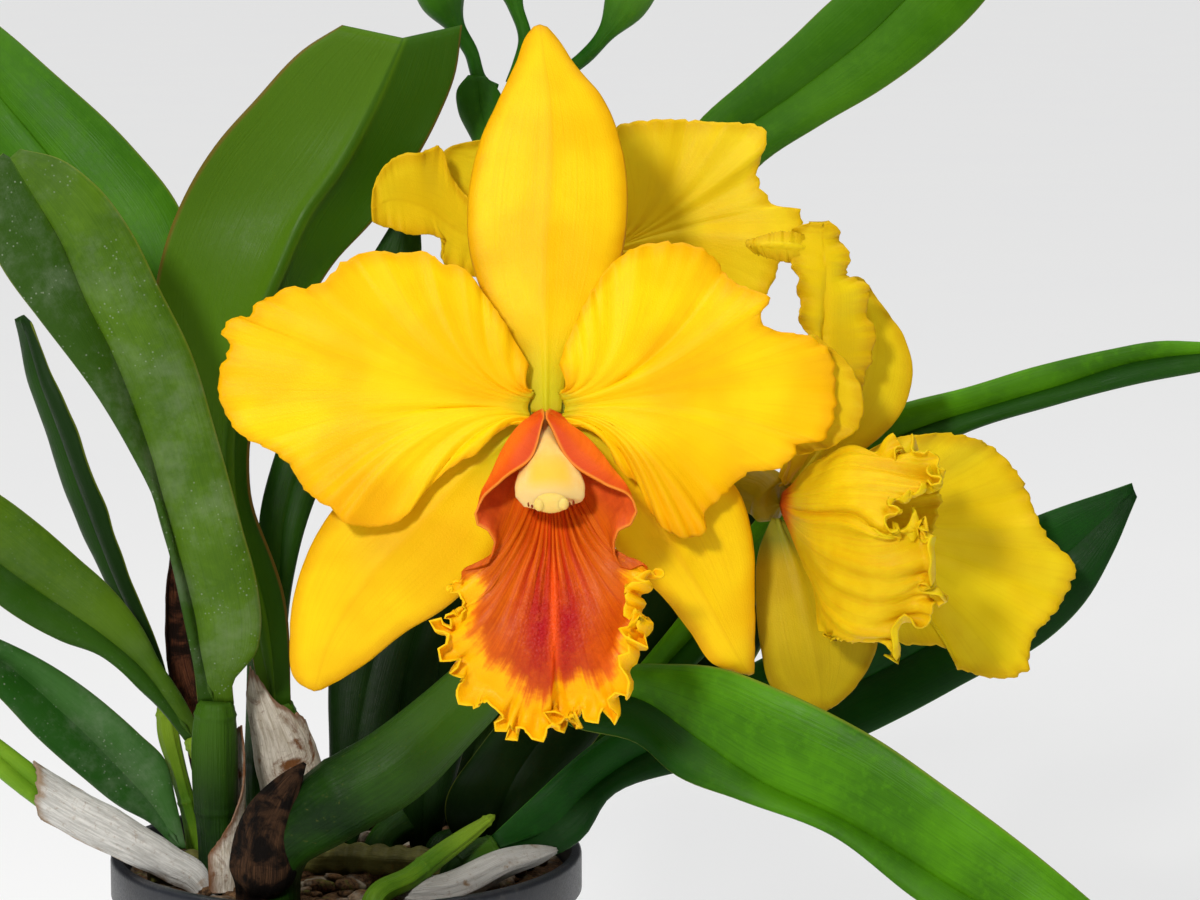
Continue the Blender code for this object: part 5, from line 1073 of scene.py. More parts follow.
def curled(places, degrees, pivot, t):
    """A sheet whose rows beyond pivot are bent towards the viewer, by so many degrees at each column."""
    row = int(np.searchsorted(t, pivot))
    hinge = places[row]
    arm = places[row:] - hinge[None]
    along = np.broadcast_to(unit(np.gradient(hinge, axis=0)), arm.shape)
    share = np.clip((t[row:, None] - t[row]) / (1 - t[row]), 0, 1) ** 0.8
    angle = np.radians(degrees)[None, :] * share
    across = np.cross(along, arm)
    ahead = across * -np.sign((across @ AHEAD).sum())
    made = places.copy()
    made[row:] = hinge + arm * np.cos(angle)[..., None] + ahead * np.sin(angle)[..., None]
    return made


def make_small_lip(name, paint, seed, veins=260, steps=90, frill=1.6):
    """A lip seen from its outside, with a frilled rim."""
    net = np.array(LIPS[name])
    last = len(net) - 1
    u, t = np.linspace(0, last, veins), even(steps, 0.35)
    grid = through(through(net, u, at=np.arange(last + 1.0)).swapaxes(0, 1), t, at=np.linspace(0, 1, 5))
    flat = world(grid)
    normal = towards(normals(flat))
    length = np.linalg.norm(flat[-1] - flat[0], axis=1)
    s = np.concatenate([[0], np.cumsum(np.linalg.norm(np.diff(flat[-1], axis=0), axis=1))])
    inward = (1 - t)[:, None] * length[None, :]
    along = unit(np.gradient(flat, axis=1))
    phase = 2 * np.pi * s / 6.4 + 1.6 * ripple(s, 24, seed)
    calm = step(0, 0.6, u) * step(last, last - 0.6, u)
    lift = frill * np.sin(phase) * calm * np.exp(-inward / 5.5)
    lift = lift + 0.45 * frill * ripple(s, 2.6, seed + 1) * calm * np.exp(-inward / 2.2)
    lift = lift + 0.2 * ripple(s, 1.2, seed + 2) * calm * np.exp(-inward / 1.0)
    lift = lift + 0.45 * lumps(flat, 11, seed, 2) * step(0.1, 0.4, t)[:, None]
    side = 0.9 * np.cos(phase + 0.5) * calm * np.exp(-inward / 3.4)
    places = flat + normal * lift[..., None] + along * side[..., None]
    tt = np.broadcast_to(t[:, None], inward.shape)
    uu = np.broadcast_to(u[None, :], inward.shape)
    marks = tissue_marks(places, False, uu / last, tt, 0.0, 0.0)
    marks["base"] = step(0.34, 0.08, tt)
    return shell(name + "_look", places, 0.4 + 0.45 * step(0.2, 0.0, tt), paint, [name], marks)


SIDE_LIP_RIM = [
    (0.0, 178.6, 93.2), (0.15, 180, 91.6), (0.3, 181.4, 89), (0.5, 185, 89.6), (0.8, 188.4, 86.8), (1.1, 189.6, 84),
    (1.5, 189, 80.8), (1.8, 185, 80.8), (2.0, 181, 79.8), (2.3, 179.2, 77.6), (2.6, 179, 74.6), (2.9, 181, 73),
    (3.2, 185, 75.2), (3.5, 188, 76), (4.0, 189.6, 70), (4.6, 189, 64), (5.0, 187, 59.6), (5.4, 182, 54),
    (5.7, 179, 52.6), (6.0, 176, 53)]


def make_side_lip(paint):
    """The lip of the side bloom, seen from outside, with the far half of its mouth behind it."""
    net = np.array(LIPS["side_lip"])
    u = np.linspace(0, 6, 320)
    t = np.concatenate([np.linspace(0, 0.68, 24)[:-1], np.linspace(0.68, 1, 42)])
    grid = through(through(net, u, at=np.arange(7.0)).swapaxes(0, 1), t, at=np.linspace(0, 1, 5))
    detail = np.array(SIDE_LIP_RIM)
    wanted = np.stack([np.interp(u, detail[:, 0], detail[:, k]) for k in (1, 2)], -1)
    grid[:, :, :2] += (wanted - grid[-1, :, :2])[None] * (step(0.45, 1.0, t)**1.2)[:, None, None]
    flat = world(grid)
    normal = towards(normals(flat))
    length = np.linalg.norm(flat[-1] - flat[0], axis=1)
    s = np.concatenate([[0], np.cumsum(np.linalg.norm(np.diff(flat[-1], axis=0), axis=1))])
    inward = (1 - t)[:, None] * length[None, :]
    lift = 0.6 * lumps(flat, 11, 41, 2) * step(0.1, 0.4, t)[:, None]
    lift = lift - 1.1 * hill(u, 2.75, 0.16)[None, :] * step(0.05, 0.3, t)[:, None] * step(0.95, 0.6, t)[:, None]
    lift = lift + 1.3 * ripple(s, 12, 42) * np.exp(-inward / 10)
    lift = lift + 0.34 * np.cos(2 * np.pi * u * 1.3 + 1.4 * ripple(s, 40, 49))[None, :] * step(0.25, 0.7, t)[:, None]
    places = flat + normal * lift[..., None]
    bend = 68 * step(0.1, 0.5, u) * step(5.9, 5.2, u) * (1 + 0.35 * ripple(s, 21, 43))
    places = curled(places, bend, 0.88, t)
    normal = normals(places)
    normal = normal * -np.sign((normal[:22] @ AHEAD).mean())
    along = unit(np.gradient(places, axis=1))
    phase = 2 * np.pi * s / 4.2 + 2.0 * ripple(s, 19, 44)
    vigour = np.clip(0.75 + 0.4 * ripple(s, 10, 45), 0.3, 1.3) * step(5.95, 5.5, u)
    lift = 2.1 * np.sin(phase) * vigour * np.exp(-(inward / 3.4)**1.5)
    side = -0.55 * np.sin(2 * phase) * vigour * np.exp(-inward / 2.1)
    quick = 2 * np.pi * s / 1.9 + 2.4 * ripple(s, 9, 46)
    lift = lift + 0.38 * np.sin(quick) * np.exp(-inward / 1.2)
    places = places + normal * lift[..., None] + along * side[..., None]
    hem = np.linalg.norm(np.diff(places, axis=1, append=places[:, -1:]), axis=2)[:, ::-1].cumsum(axis=1)[:, ::-1]
    ragged = 0.55 * ripple(t * 40, 2.2, 47)[:, None] * np.exp(-hem / 1.8) * step(0.4, 0.55, t)[:, None]
    wavy = 1.1 * ripple(t * 40, 3.4, 50)[:, None] * np.exp(-hem / 2.4) * step(0.4, 0.55, t)[:, None]
    places = places + along * ragged[..., None] + normal * wavy[..., None]
    tt = np.broadcast_to(t[:, None], inward.shape)
    uu = np.broadcast_to(u[None, :], inward.shape)
    marks = tissue_marks(places, False, uu / 6, tt, 0.0, 0.0)
    marks["base"] = np.maximum(step(0.26, 0.03, tt), 0.42 * hill(uu, 2.7, 0.45) * step(0.7, 0.2, tt))
    shell("side_lip_look", places, 0.4 + 0.4 * step(0.2, 0.0, tt), paint, ["side_lip"], marks)
    rim = [(180, 90, 2), (186, 88, 10), (188, 82, 16), (187, 74, 18), (185, 66, 15), (180, 58, 8), (176, 54, 3)]
    claw = [(157.6, 81.4, 22.2), (157.8, 80, 22.8), (157.6, 78, 22.4)]
    petal("side_lip_far_look", claw, rim, paint, dish=-6.0, veins=90, steps=36, seed=48, frill=1.2,
          wavelength=5.0)


def joined(name, parts, paint, nodes=()):
    """One piece from several (vertices, faces, place marks)."""
    vertices, faces, places, shift = [], [], [], 0
    for points, rings, place in parts:
        vertices.append(points)
        places.append(place)
        faces += [[i + shift for i in ring] for ring in rings]
        shift += len(points)
    return publish(name, np.concatenate(vertices), faces, paint, nodes, {"place": np.concatenate(places)})


def make_column(paint, cap_paint):
    """The column: a cone that widens into two wings over a cap with two pale lobes and small teeth."""
    path = drawn((109.2, 97.6, 1.6, 1.0), (109.2, 95.4, -1.2, 1.5), (109.4, 91.8, -6, 2.8), (109.7, 88, -10.4, 4.4),
                 (109.9, 84.4, -14.2, 5.7), (110, 81.6, -16.6, 6.1), (110, 80.0, -17.4, 5.6),
                 (110, 79.3, -17.7, 4.4), (110.1, 78.9, -17.8, 2.4))

    def relief(turn, share):
        wings = 0.8 * (hill(turn, 0.1, 0.3) + hill(turn, math.pi - 0.1, 0.3) + hill(turn, 2 * math.pi, 0.3))
        ridge = 0.7 * (hill(turn, 1.5 * math.pi, 0.5) + hill(turn, 0.5 * math.pi, 0.5))
        return step(0.3, 0.85, share) * wings + ridge * step(0.1, 0.5, share) * step(1.0, 0.8, share)

    rod("main_column_look", path, paint, "column_cream", ["main_column"], sides=48, rings=66, flat=0.5,
        relief=relief)
    lobes = []
    for across, up, back, wide, deep, high in ((110.2, 79.4, -19.6, 3.3, 1.6, 2.0), (107.9, 79.0, -20.2, 1.2, 1.2, 1.2),
                                               (112.6, 79.2, -20.2, 1.2, 1.2, 1.2)):
        lobes.append(blob(world(np.array([across, up, back])), (wide, deep, high), 28, 16))
    joined("anther_cap_look", lobes, cap_paint)
    teeth = []
    for across, up in ((106.4, 78.9), (105.7, 79.2), (113.9, 79.0), (114.7, 79.4)):
        teeth.append(blob(world(np.array([across, up, -18.6])), (0.24, 0.4, 0.55), 10, 8))
    joined("column_teeth_look", teeth, tissue_paint("teeth_look", hue(170, 74, 20), hue(140, 52, 14), hue(120, 40, 10)))


def blob(middle, size, sides=16, rings=10, tilt=None):
    """Vertices, faces and place marks of a closed egg about a place, with half sizes along X, Y and Z."""
    latitude = np.linspace(-np.pi / 2, np.pi / 2, rings + 2)[1:-1]
    turn = np.linspace(0, 2 * np.pi, sides, endpoint=False)
    ring = np.stack([np.outer(np.cos(latitude), np.cos(turn)), np.outer(np.cos(latitude), np.sin(turn)),
                     np.outer(np.sin(latitude), np.ones(sides))], -1).reshape(-1, 3)
    points = np.concatenate([ring, [[0, 0, -1], [0, 0, 1]]]) * np.array(size)
    if tilt is not None:
        points = points @ tilt.T
    index = np.arange(rings * sides).reshape(rings, sides)
    around = np.roll(index, -1, axis=1)
    faces = np.stack([index[:-1], around[:-1], around[1:], index[1:]], -1).reshape(-1, 4).tolist()
    south, north = rings * sides, rings * sides + 1
    faces += [[south, around[0, k], index[0, k]] for k in range(sides)]
    faces += [[north, index[-1, k], around[-1, k]] for k in range(sides)]
    place = np.concatenate([np.stack([np.tile(turn, rings), np.repeat(latitude, sides) * size[2],
                                      np.repeat(latitude, sides) / np.pi + 0.5], -1), [[0, 0, 0], [0, 0, 1]]])
    return points + middle, faces, place


def make_blooms():
    golden = tissue_paint("main_petal_look", hue(255, 208, 8), hue(247, 188, 4), hue(232, 160, 2))
    sepals = tissue_paint("main_sepal_look", hue(250, 205, 14), hue(240, 186, 6), hue(222, 156, 2), streaks=60,
                          green=hue(186, 190, 26))
    lemon = tissue_paint("side_petal_look", hue(238, 208, 22), hue(226, 190, 12), hue(206, 160, 6), streaks=120)
    straw = tissue_paint("rear_petal_look", hue(248, 214, 28), hue(238, 198, 16), hue(222, 172, 8), streaks=90)
    lemon_sepals = tissue_paint("side_sepal_look", hue(232, 205, 24), hue(218, 186, 12), hue(198, 156, 6), streaks=50,
                                green=hue(172, 184, 30))
    sepal("main_dorsal_sepal_look", SEPALS["main_dorsal_sepal"], sepals, ["main_dorsal_sepal"],
          along=130, across=60, green=0.75, seed=3, roll=-0.8, keel=0.25)
    sepal("main_lateral_left_look", SEPALS["main_lateral_left"], sepals, ["main_lateral_left"],
          green=0.75, seed=5, roll=-0.5)
    sepal("main_lateral_right_look", SEPALS["main_lateral_right"], sepals, ["main_lateral_right"],
          green=0.6, seed=7, roll=-0.5)
    claw, margin = PETALS["main_petal_left"]
    petal("main_petal_left_look", claw, deepen(LEFT_PETAL_OUTLINE, margin), golden,
          ["main_petal_left"], seed=11, green=0.6, pleats=[(0.72, 7.0, 0.8, 5.0)],
          creases=[(0.62, 0.02, -0.8, 0.2, 0.6)], shades=[(0.74, 0.09, 0.55, 0.78, 1.1), (0.3, 0.08, 0.25, 0.85, 1.1)])
    claw, margin = PETALS["main_petal_right"]
    petal("main_petal_right_look", claw, deepen(RIGHT_PETAL_OUTLINE, margin), golden,
          ["main_petal_right"], seed=23, green=0.6, pleats=[(0.2, 8.0, 1.3, 4.4)],
          creases=[(0.72, 0.02, -0.8, 0.3, 0.9)], shades=[(0.2, 0.09, 0.6, 0.6, 1.1), (0.45, 0.08, 0.3, 0.85, 1.1)])
    lip = lip_paint("main_lip_look")
    make_main_lip(lip)
    cap = tissue_paint("cap_look", hue(242, 224, 168), hue(240, 210, 120), hue(232, 188, 80), streaks=6, glow=0.25)
    make_column(column_paint(), cap)
    claw, margin = PETALS["side_petal_far"]
    petal("side_petal_far_look", claw, margin, lemon, ["side_petal_far"], seed=45, dish=0.0)
    sepal("side_petal_upper_look", SEPALS["side_petal_upper"], lemon, ["side_petal_upper"], along=110,
          across=52, seed=33, wave=1.2, roll=0.5, keel=-1.4, frill=1.1)
    sepal("rear_petal_left_look", SEPALS["rear_petal_left"], straw, ["rear_petal_left"], along=90,
          across=44, seed=36, wave=1.0, roll=0.3, keel=-0.4, frill=0.5)
    # Painted shade: the lateral sepals' paint is darkened for the lip's shadow over them, and their strong green base
    # mark is partly painted shade.
    shadowed = tissue_paint("side_lateral_look", hue(206, 178, 22), hue(188, 158, 14), hue(160, 126, 8), streaks=50,
                            green=hue(132, 130, 30))
    for name in ("side_dorsal_sepal", "side_lateral_near", "side_lateral_far"):
        lateral = "lateral" in name
        sepal(name + "_look", SEPALS[name], shadowed if lateral else lemon_sepals, [name], along=80,
              across=36, seed=len(name), green=1.3 if lateral else 0.4)
    flap = [[(161, 133, 12.8), (156, 133.4, 11.6), (149.6, 131.6, 11)], [(161, 130.4, 12.4), (155, 131, 10), (149.2, 131, 10.6)],
            [(161, 127.4, 12.6), (156.4, 127.8, 11.6), (151, 129.8, 11.2)]]
    sepal("side_petal_flap_look", flap, lemon, along=40, across=24, seed=51, wave=0.5, frill=0.4)
    make_side_lip(side_lip_paint())
    claw, margin = PETALS["rear_petal_right"]
    petal("rear_petal_right_look", claw, margin, straw, ["rear_petal_right"], seed=67, dish=1.0,
          veins=120, steps=40, swell=0.7, frill=0.4)
    fold = [[(158, 112.6, 3.4), (158.4, 104, 4), (157.4, 96, 3.6), (156, 90, 3.2)],
            [(162, 113, 4.4), (166, 106, 5.4), (165, 97, 5.2), (158, 89.6, 3.6)],
            [(163.4, 112.8, 4.2), (169.2, 107.8, 5.6), (172.2, 102, 6), (171.6, 94.6, 6), (167.4, 91.2, 5.4),
             (159.4, 88.8, 3.8)]]
    sepal("main_petal_fold_look", fold, lemon, along=60, across=34, seed=29, wave=0.7, frill=0.4)
    for name in ("rear_dorsal_sepal", "rear_lateral_left", "rear_lateral_right"):
        sepal(name + "_look", SEPALS[name], lemon_sepals, [name], along=50, across=26, seed=len(name))
    make_small_lip("rear_lip", side_lip_paint(), 47, veins=120, steps=44)


def side_lip_paint():
    """Outside of the other lips: yellow, orange red at the base. Marks as tissue_paint's, and base."""
    if "side_lip_look" in bpy.data.materials:
        return bpy.data.materials["side_lip_look"]
    p = Paint("side_lip_look", Subsurface_Weight=0.1, Subsurface_Scale=0.002, Specular_IOR_Level=0.09)
    x, y, edge = p.parts(p.mark("place", "Vector"))[:3]
    room = p.room()
    veins = p.noise(p.vector(p.maths("MULTIPLY", x, 70), p.maths("MULTIPLY", y, 2.2)), 1.0, 2.0, 0.55)
    cloud = p.noise(room, 190, 4.0, 0.6)
    colour = p.mix(p.span(cloud, 0.3, 0.7), hue(230, 200, 16), hue(220, 182, 8))
    colour = p.mix(p.maths("MULTIPLY", p.span(veins, 0.45, 0.7), 0.36), colour, hue(218, 156, 14))
    inner = p.span(p.mark("side"), -0.2, 0.2, 0.25, 0.0)
    colour = p.mix(inner, colour, hue(228, 164, 10))
    base = p.maths("ADD", p.mark("base"), p.maths("MULTIPLY", p.maths("SUBTRACT", veins, 0.5), 0.7))
    colour = p.mix(p.maths("MULTIPLY", p.span(base, 0.2, 0.75), 0.66), colour, hue(236, 138, 14))
    colour = p.mix(p.span(base, 0.6, 1.1), colour, hue(196, 60, 14))
    grain = p.noise(room, 3200, 2.0, 0.6)
    height = p.maths("ADD", veins, p.maths("MULTIPLY", grain, 0.5))
    return p.finish(colour, p.span(grain, 0.3, 0.75, 0.5, 0.34), p.bump(height, 0.00022, 0.65))


def make_stems():
    green = skin_paint("stem_look", hue(150, 170, 60), hue(112, 136, 40), tip=hue(178, 186, 60), ribs=2.0)
    bud = skin_paint("bud_look", hue(50, 104, 20), hue(26, 74, 12), tip=hue(92, 146, 36), shine=0.3, ribs=1.4)
    node = world(np.array([114.4, 84.0, 38.0]))
    stretches = {
        "main_ovary": [(113.4, 88, 28, 2.2), (111.8, 93.4, 20, 2.3), (110.2, 95.8, 13, 2.6), (109.4, 96.2, 7, 3.4),
                       (109.2, 96.4, 4.4, 4.6), (109.2, 96.4, 2.3, 4.6)],
        "side_ovary": [(122, 84, 36.5, 2.2), (130, 84, 35, 2.2), (138, 84, 33.4, 2.6), (145, 83.4, 30.4, 4.0),
                       (150, 82.4, 27, 4.8), (153.8, 80.8, 24.4, 5.0), (155.2, 79.3, 23.2, 4.0),
                       (155.8, 79.3, 22.8, 1.4), (159, 79.2, 20, 1.6), (163, 79.2, 16, 2.4), (167, 79.4, 12, 2.8),
                       (169.6, 79.4, 9, 1.6)],
        "rear_ovary": [(114.8, 96, 48, 2.2), (115.4, 106, 59, 2.2), (116.4, 115, 66, 2.3), (117.4, 125, 70, 2.6),
                       (117.4, 129.4, 66, 3.2), (117.4, 130, 62.8, 4.6), (117.4, 130, 60.6, 4.6),
                       (117.4, 130, 59.6, 1.4), (117.4, 129, 55, 1.8), (117.4, 127, 50, 2.4), (117.4, 124.8, 46, 2.8),
                       (117.4, 123, 43.4, 1.6)]}
    # Painted shade: the side ovary's olive is darkened for the shade of the petals over it.
    olive = skin_paint("side_ovary_look", hue(150, 128, 4), hue(106, 88, 2), tip=hue(166, 138, 4), ribs=2.0,
                       tan=hue(140, 116, 12))
    for name, rows in stretches.items():
        path = drawn(*rows)
        start = node + unit(np.array(path[0][:3]) - node) * 3.6
        rod(name + "_look", [(*start, 2.0)] + path, olive if "side" in name else green, "stem_green", [name], sides=28, rings=80,
            relief=lambda turn, share: 0.12 * np.cos(6 * turn))
    seat = perch(BULBS["bulb_front_right"], 1.0, aside=2.6, lift=0.9)[1]
    rod("peduncle_look", drawn((*seat, 2.0)) + drawn((106, 62, 32, 2.4), (111, 74, 36, 2.6), (114.4, 79, 38, 2.8),
                                                     (114.4, 84, 38, 3.8)), green, "stem_green", ["peduncle"],
        sides=28, rings=64, relief=lambda turn, share: 0.1 * np.cos(5 * turn))
    top = world(np.array([101.4, 161.0, 72.0]))
    seat = perch(BULBS["bulb_top_right"], 1.0, aside=-1.7, lift=0.9)[1]
    rod("bud_peduncle_look", drawn((*seat, 1.4)) + drawn((110, 84, 82, 2.2), (106, 112, 80, 2.2), (102.4, 140, 76, 2.2),
                                                         (101.6, 156, 73, 2.4), (101.4, 161, 72, 3.0)), green,
        "stem_green", ["bud_peduncle"], sides=26, rings=70, relief=lambda turn, share: 0.1 * np.cos(5 * turn))
    heads = {
        "bud_left": [(97, 163, 71, 1.5), (94, 170, 68, 1.6), (91, 175, 66, 2.2), (88.6, 180, 65, 5.0),
                     (87, 189, 64, 5.2), (86.4, 198, 64, 2.4), (86.2, 200.4, 64, 0.8)],
        "bud_middle": [(103.8, 167, 71, 1.5), (105, 172, 70, 1.5), (103, 179, 69, 1.8), (101, 186, 68, 4.4),
                       (100, 194, 67, 4.6), (99.6, 201, 66, 2.2), (99.5, 203, 66, 0.8)],
        "bud_right": [(110, 164, 70, 1.5), (117, 168.6, 68, 1.6), (121.4, 173.6, 66, 2.0), (125, 179, 65, 4.6),
                      (128.6, 187, 64, 5.0), (131, 195, 64, 2.4), (131.6, 197.4, 64, 0.8)]}
    for name, rows in heads.items():
        path = drawn(*rows)
        start = top + unit(np.array(path[0][:3]) - top) * 2.6
        rod(name + "_look", [(*start, 1.4)] + path, bud, "bud_green", [name], sides=32, rings=76,
            relief=lambda turn, share: 0.35 * np.cos(3 * turn) * step(0.35, 0.6, share) * step(1.0, 0.85, share))
    sheath = leaf_paint("bud_sheath_look", hue(58, 110, 22), hue(26, 70, 12), hue(70, 120, 30))
    foot = [(101, 136, 74.6), (102.4, 136, 74.2), (103.8, 136, 74.6)]
    lines = [[(98.4, 144, 72), (94.4, 152, 70.4), (91.6, 158, 69.6), (91.4, 162, 69.2), (93.6, 165, 69)],
             [(100.4, 144, 71), (98, 152, 69.4), (96.2, 158, 68.6), (95.6, 162, 68.6), (95.4, 165, 68.8)],
             [(103.4, 144, 72), (102.4, 152, 70.4), (101, 157.6, 69.6), (100.2, 161, 69.2), (97.4, 164.6, 69)]]
    leaf("bud_sheath_look", foot, lines, sheath, ["bud_sheath"], seed=24, along=40, bulge=0.8, thickness=0.9)


# Leaves, pseudobulbs and sheaths

def make_leaves():
    plain = leaf_paint("leaf_plain_look", hue(72, 124, 12), hue(36, 84, 8), hue(92, 134, 20))
    dusty = leaf_paint("leaf_dusty_look", hue(84, 118, 22), hue(40, 70, 14), hue(92, 126, 26), dust=0.5)
    bright = leaf_paint("leaf_bright_look", hue(84, 146, 8), hue(20, 62, 6), hue(92, 144, 16))
    notched = leaf_paint("leaf_notched_look", hue(66, 104, 12), hue(34, 74, 8), hue(76, 112, 14),
                         rim=hue(116, 76, 34))
    # Painted shade: the dark and deep paints are darkened copies of the leaf green for leaves in shadow within the
    # plant and under the side bloom.
    dark = leaf_paint("leaf_dark_look", hue(36, 72, 12), hue(16, 40, 6), hue(48, 84, 16))
    deep = leaf_paint("leaf_deep_look", hue(22, 76, 12), hue(8, 34, 6), hue(40, 84, 16), rim=hue(50, 100, 24))
    # On this leaf the grey dust film is partly real dust and partly a painted sheen.
    greyed = leaf_paint("leaf_grey_look", hue(64, 106, 48), hue(30, 76, 16), hue(90, 120, 50), dust=0.55)
    olive = leaf_paint("leaf_olive_look", hue(80, 110, 20), hue(38, 74, 12), hue(92, 126, 28), dust=0.12)
    young = leaf_paint("leaf_young_look", hue(124, 164, 40), hue(84, 130, 24), hue(130, 164, 54))
    # The dark pairs are painted shade on the leaves' left and right halves.
    seats = {
        "leaf_front_left": (3.8, 0.0, -0.6, dusty, {"dark": (0.9, 0.0), "groove": 1.6}),
        "leaf_back_left": (2.6, 0.0, -0.5, plain, {"dark": (0.2, 0.0)}),
        "leaf_notched": (3.2, -1.0, -0.5, notched, {"face": 1, "dark": (0.0, 0.72)}),
        "leaf_shaded": (1.4, 1.8, 0.5, dark, {}),
        "leaf_slender": (1.9, 0.0, -0.5, dark, {"dark": (0.1, 0.8)}),
        "leaf_upper_left": (2.0, 0.0, -0.5, olive, {"dark": (0.9, 0.0)}),
        "leaf_front_right": (4.6, -1.0, -0.5, bright, {"dark": (0.15, 1.0), "fade": 0.75}),
        "leaf_dark_right": (2.8, 0.0, -0.5, deep, {"dark": (0.0, 0.5)}),
        "leaf_far_right": (2.6, -0.8, -0.5, bright, {"dark": (0.0, 0.9), "groove": 0.9}),
        "leaf_top_right": (2.4, 0.8, -0.5, plain, {"dark": (0.3, 0.0)}),
        "leaf_upright": (1.2, 1.9, 0.6, dark, {})}
    carriers = {"leaf_shaded": "bulb_notched", "leaf_upright": "bulb_far_right"}
    for k, (name, (half, aside, lift, paint, options)) in enumerate(seats.items()):
        path = BULBS[carriers.get(name, name.replace("leaf", "bulb"))]
        leaf(name + "_look", perch(path, half, aside, lift), LEAVES[name], paint, [name], seed=k + 1, **options)
    # Painted shade: the inner leaves' near-black colours stand for the deep shade in the middle of the plant.
    make_extra_leaves(leaf_paint("leaf_inner_look", hue(22, 48, 10), hue(8, 22, 4), hue(28, 54, 12)))
    crook = [drawing(np.array([x, -12.4, MEDIUM_TOP + 7.9])) for x in (-35.6, -34.4, -33.2)]
    leaf("leaf_lower_left_look", crook, LEAVES["leaf_lower_left"], greyed, ["leaf_lower_left"], seed=21,
         dark=(0.85, 0.0))
    leaf("new_growth_leaf_look", perch(NEW_GROWTH, 3.2, lift=-2.0), LEAVES["new_growth_leaf"], young, ["new_growth_leaf"],
         seed=22, along=48, slot="young_green")


# Leaves that fill the gaps in the plant's middle, painted near black as shade.
EXTRA_LEAVES = {
    "inner_leaf_left": ((-2, 8), [
        [(66, 30, 66), (66, 46, 68), (69, 60, 70), (76, 72, 71), (80, 80, 71)],
        [(71, 30, 65), (74, 46, 67), (78, 60, 69), (81, 72, 70), (83, 81, 70.6)],
        [(77, 28, 66), (82, 44, 68), (86, 58, 70), (87, 70, 71), (85, 80, 71)]]),
    "inner_leaf_middle": ((16, 6), [
        [(80, 24, 64), (80, 40, 66), (83, 54, 68), (88, 66, 70), (92, 76, 71)],
        [(85, 24, 63), (87, 40, 65), (89, 54, 67), (92, 66, 69), (94, 77, 70)],
        [(91, 24, 64), (95, 40, 66), (97, 54, 68), (97, 66, 70), (96, 76, 71)]]),
    "inner_leaf_low": ((30, -2), [
        [(89, 18, 56), (97, 32, 60), (106, 42, 63), (114, 52, 65), (122, 58, 66)],
        [(101, 20, 55), (106, 29, 59), (113, 38, 62), (119, 48, 64), (123, 57.6, 65.6)],
        [(106, 17, 56), (114, 26, 60), (121, 35, 63), (125, 46, 65), (124.6, 56.6, 66)]]),
    "inner_leaf_right": ((38, 2), [
        [(116, 38, 68), (121, 50, 69), (129, 63, 70), (138, 76, 71), (143, 84, 71)],
        [(122, 36, 67), (130, 48, 68), (138, 62, 69), (143, 75, 70), (145, 85, 70.6)],
        [(129, 34, 68), (146, 42, 69), (154.4, 56, 70), (155.4, 70, 71), (150, 83, 71)]])}


def make_extra_leaves(paint):
    for k, (name, (foot, lines)) in enumerate(EXTRA_LEAVES.items()):
        base = [drawing(np.array([foot[0] + side, foot[1], MEDIUM_TOP - 0.6])) for side in (-1.8, 0.0, 1.8)]
        leaf(name + "_look", base, lines, paint, seed=40 + k, along=54)


NEW_GROWTH = ground(-38, -22.5, 2.8) + drawn(
    (34.4, 6, 39.5, 3.2), (26, 11, 38.5, 4.2), (17, 16, 37.5, 4.6), (10.4, 20, 36.6, 3.4))


def make_bulbs():
    # Painted shade: the old pseudobulbs' greens are darkened for the shade under the blooms, and their lighter tips are
    # painted light on their upper ends.
    old_shaded = skin_paint("bulb_look", hue(32, 64, 10), hue(12, 34, 6), tip=hue(56, 92, 16))
    young = skin_paint("young_bulb_look", hue(100, 138, 28), hue(64, 106, 18), tip=hue(122, 152, 36))
    root = skin_paint("rhizome_look", hue(120, 118, 60), hue(74, 72, 36))

    def ringed(turn, share):
        ring = 0.3 * hill(share, 0.93, 0.012) + 0.4 * hill(share, 0.05, 0.03) + 0.25 * hill(share, 0.42, 0.012)
        return ring - 0.6 * step(0.97, 1.0, share) + 0.12 * np.cos(7 * turn + 2 * share) + 0.07 * np.cos(13 * turn)

    for name, path in BULBS.items():
        tender = name in ("bulb_slender", "bulb_upper_left", "young_shoot")
        rod(name + "_look", path, young if tender else old_shaded, "young_green" if tender else "bulb_green", [name],
            sides=38, rings=84, foot=True, relief=ringed)
    run = [(-41, -14), (-30, -11), (-15, -6), (0, -5), (12, -8.2), (22, -9.2)]
    rod("rhizome_look", [(x, y, MEDIUM_TOP + 3.8, 3.5) for x, y in run], root, "rhizome_skin", ["rhizome"], sides=34,
        rings=90, relief=lambda turn, share: 0.35 * np.cos(share * 90) + 0.15 * np.cos(7 * turn))


def part_way(path, start, end, clearance):
    """A stretch of a pseudobulb's path, by fractions of its length, with its radii enlarged."""
    points = through(path, np.linspace(start, end, 12))
    points[:, 3] += clearance
    return points


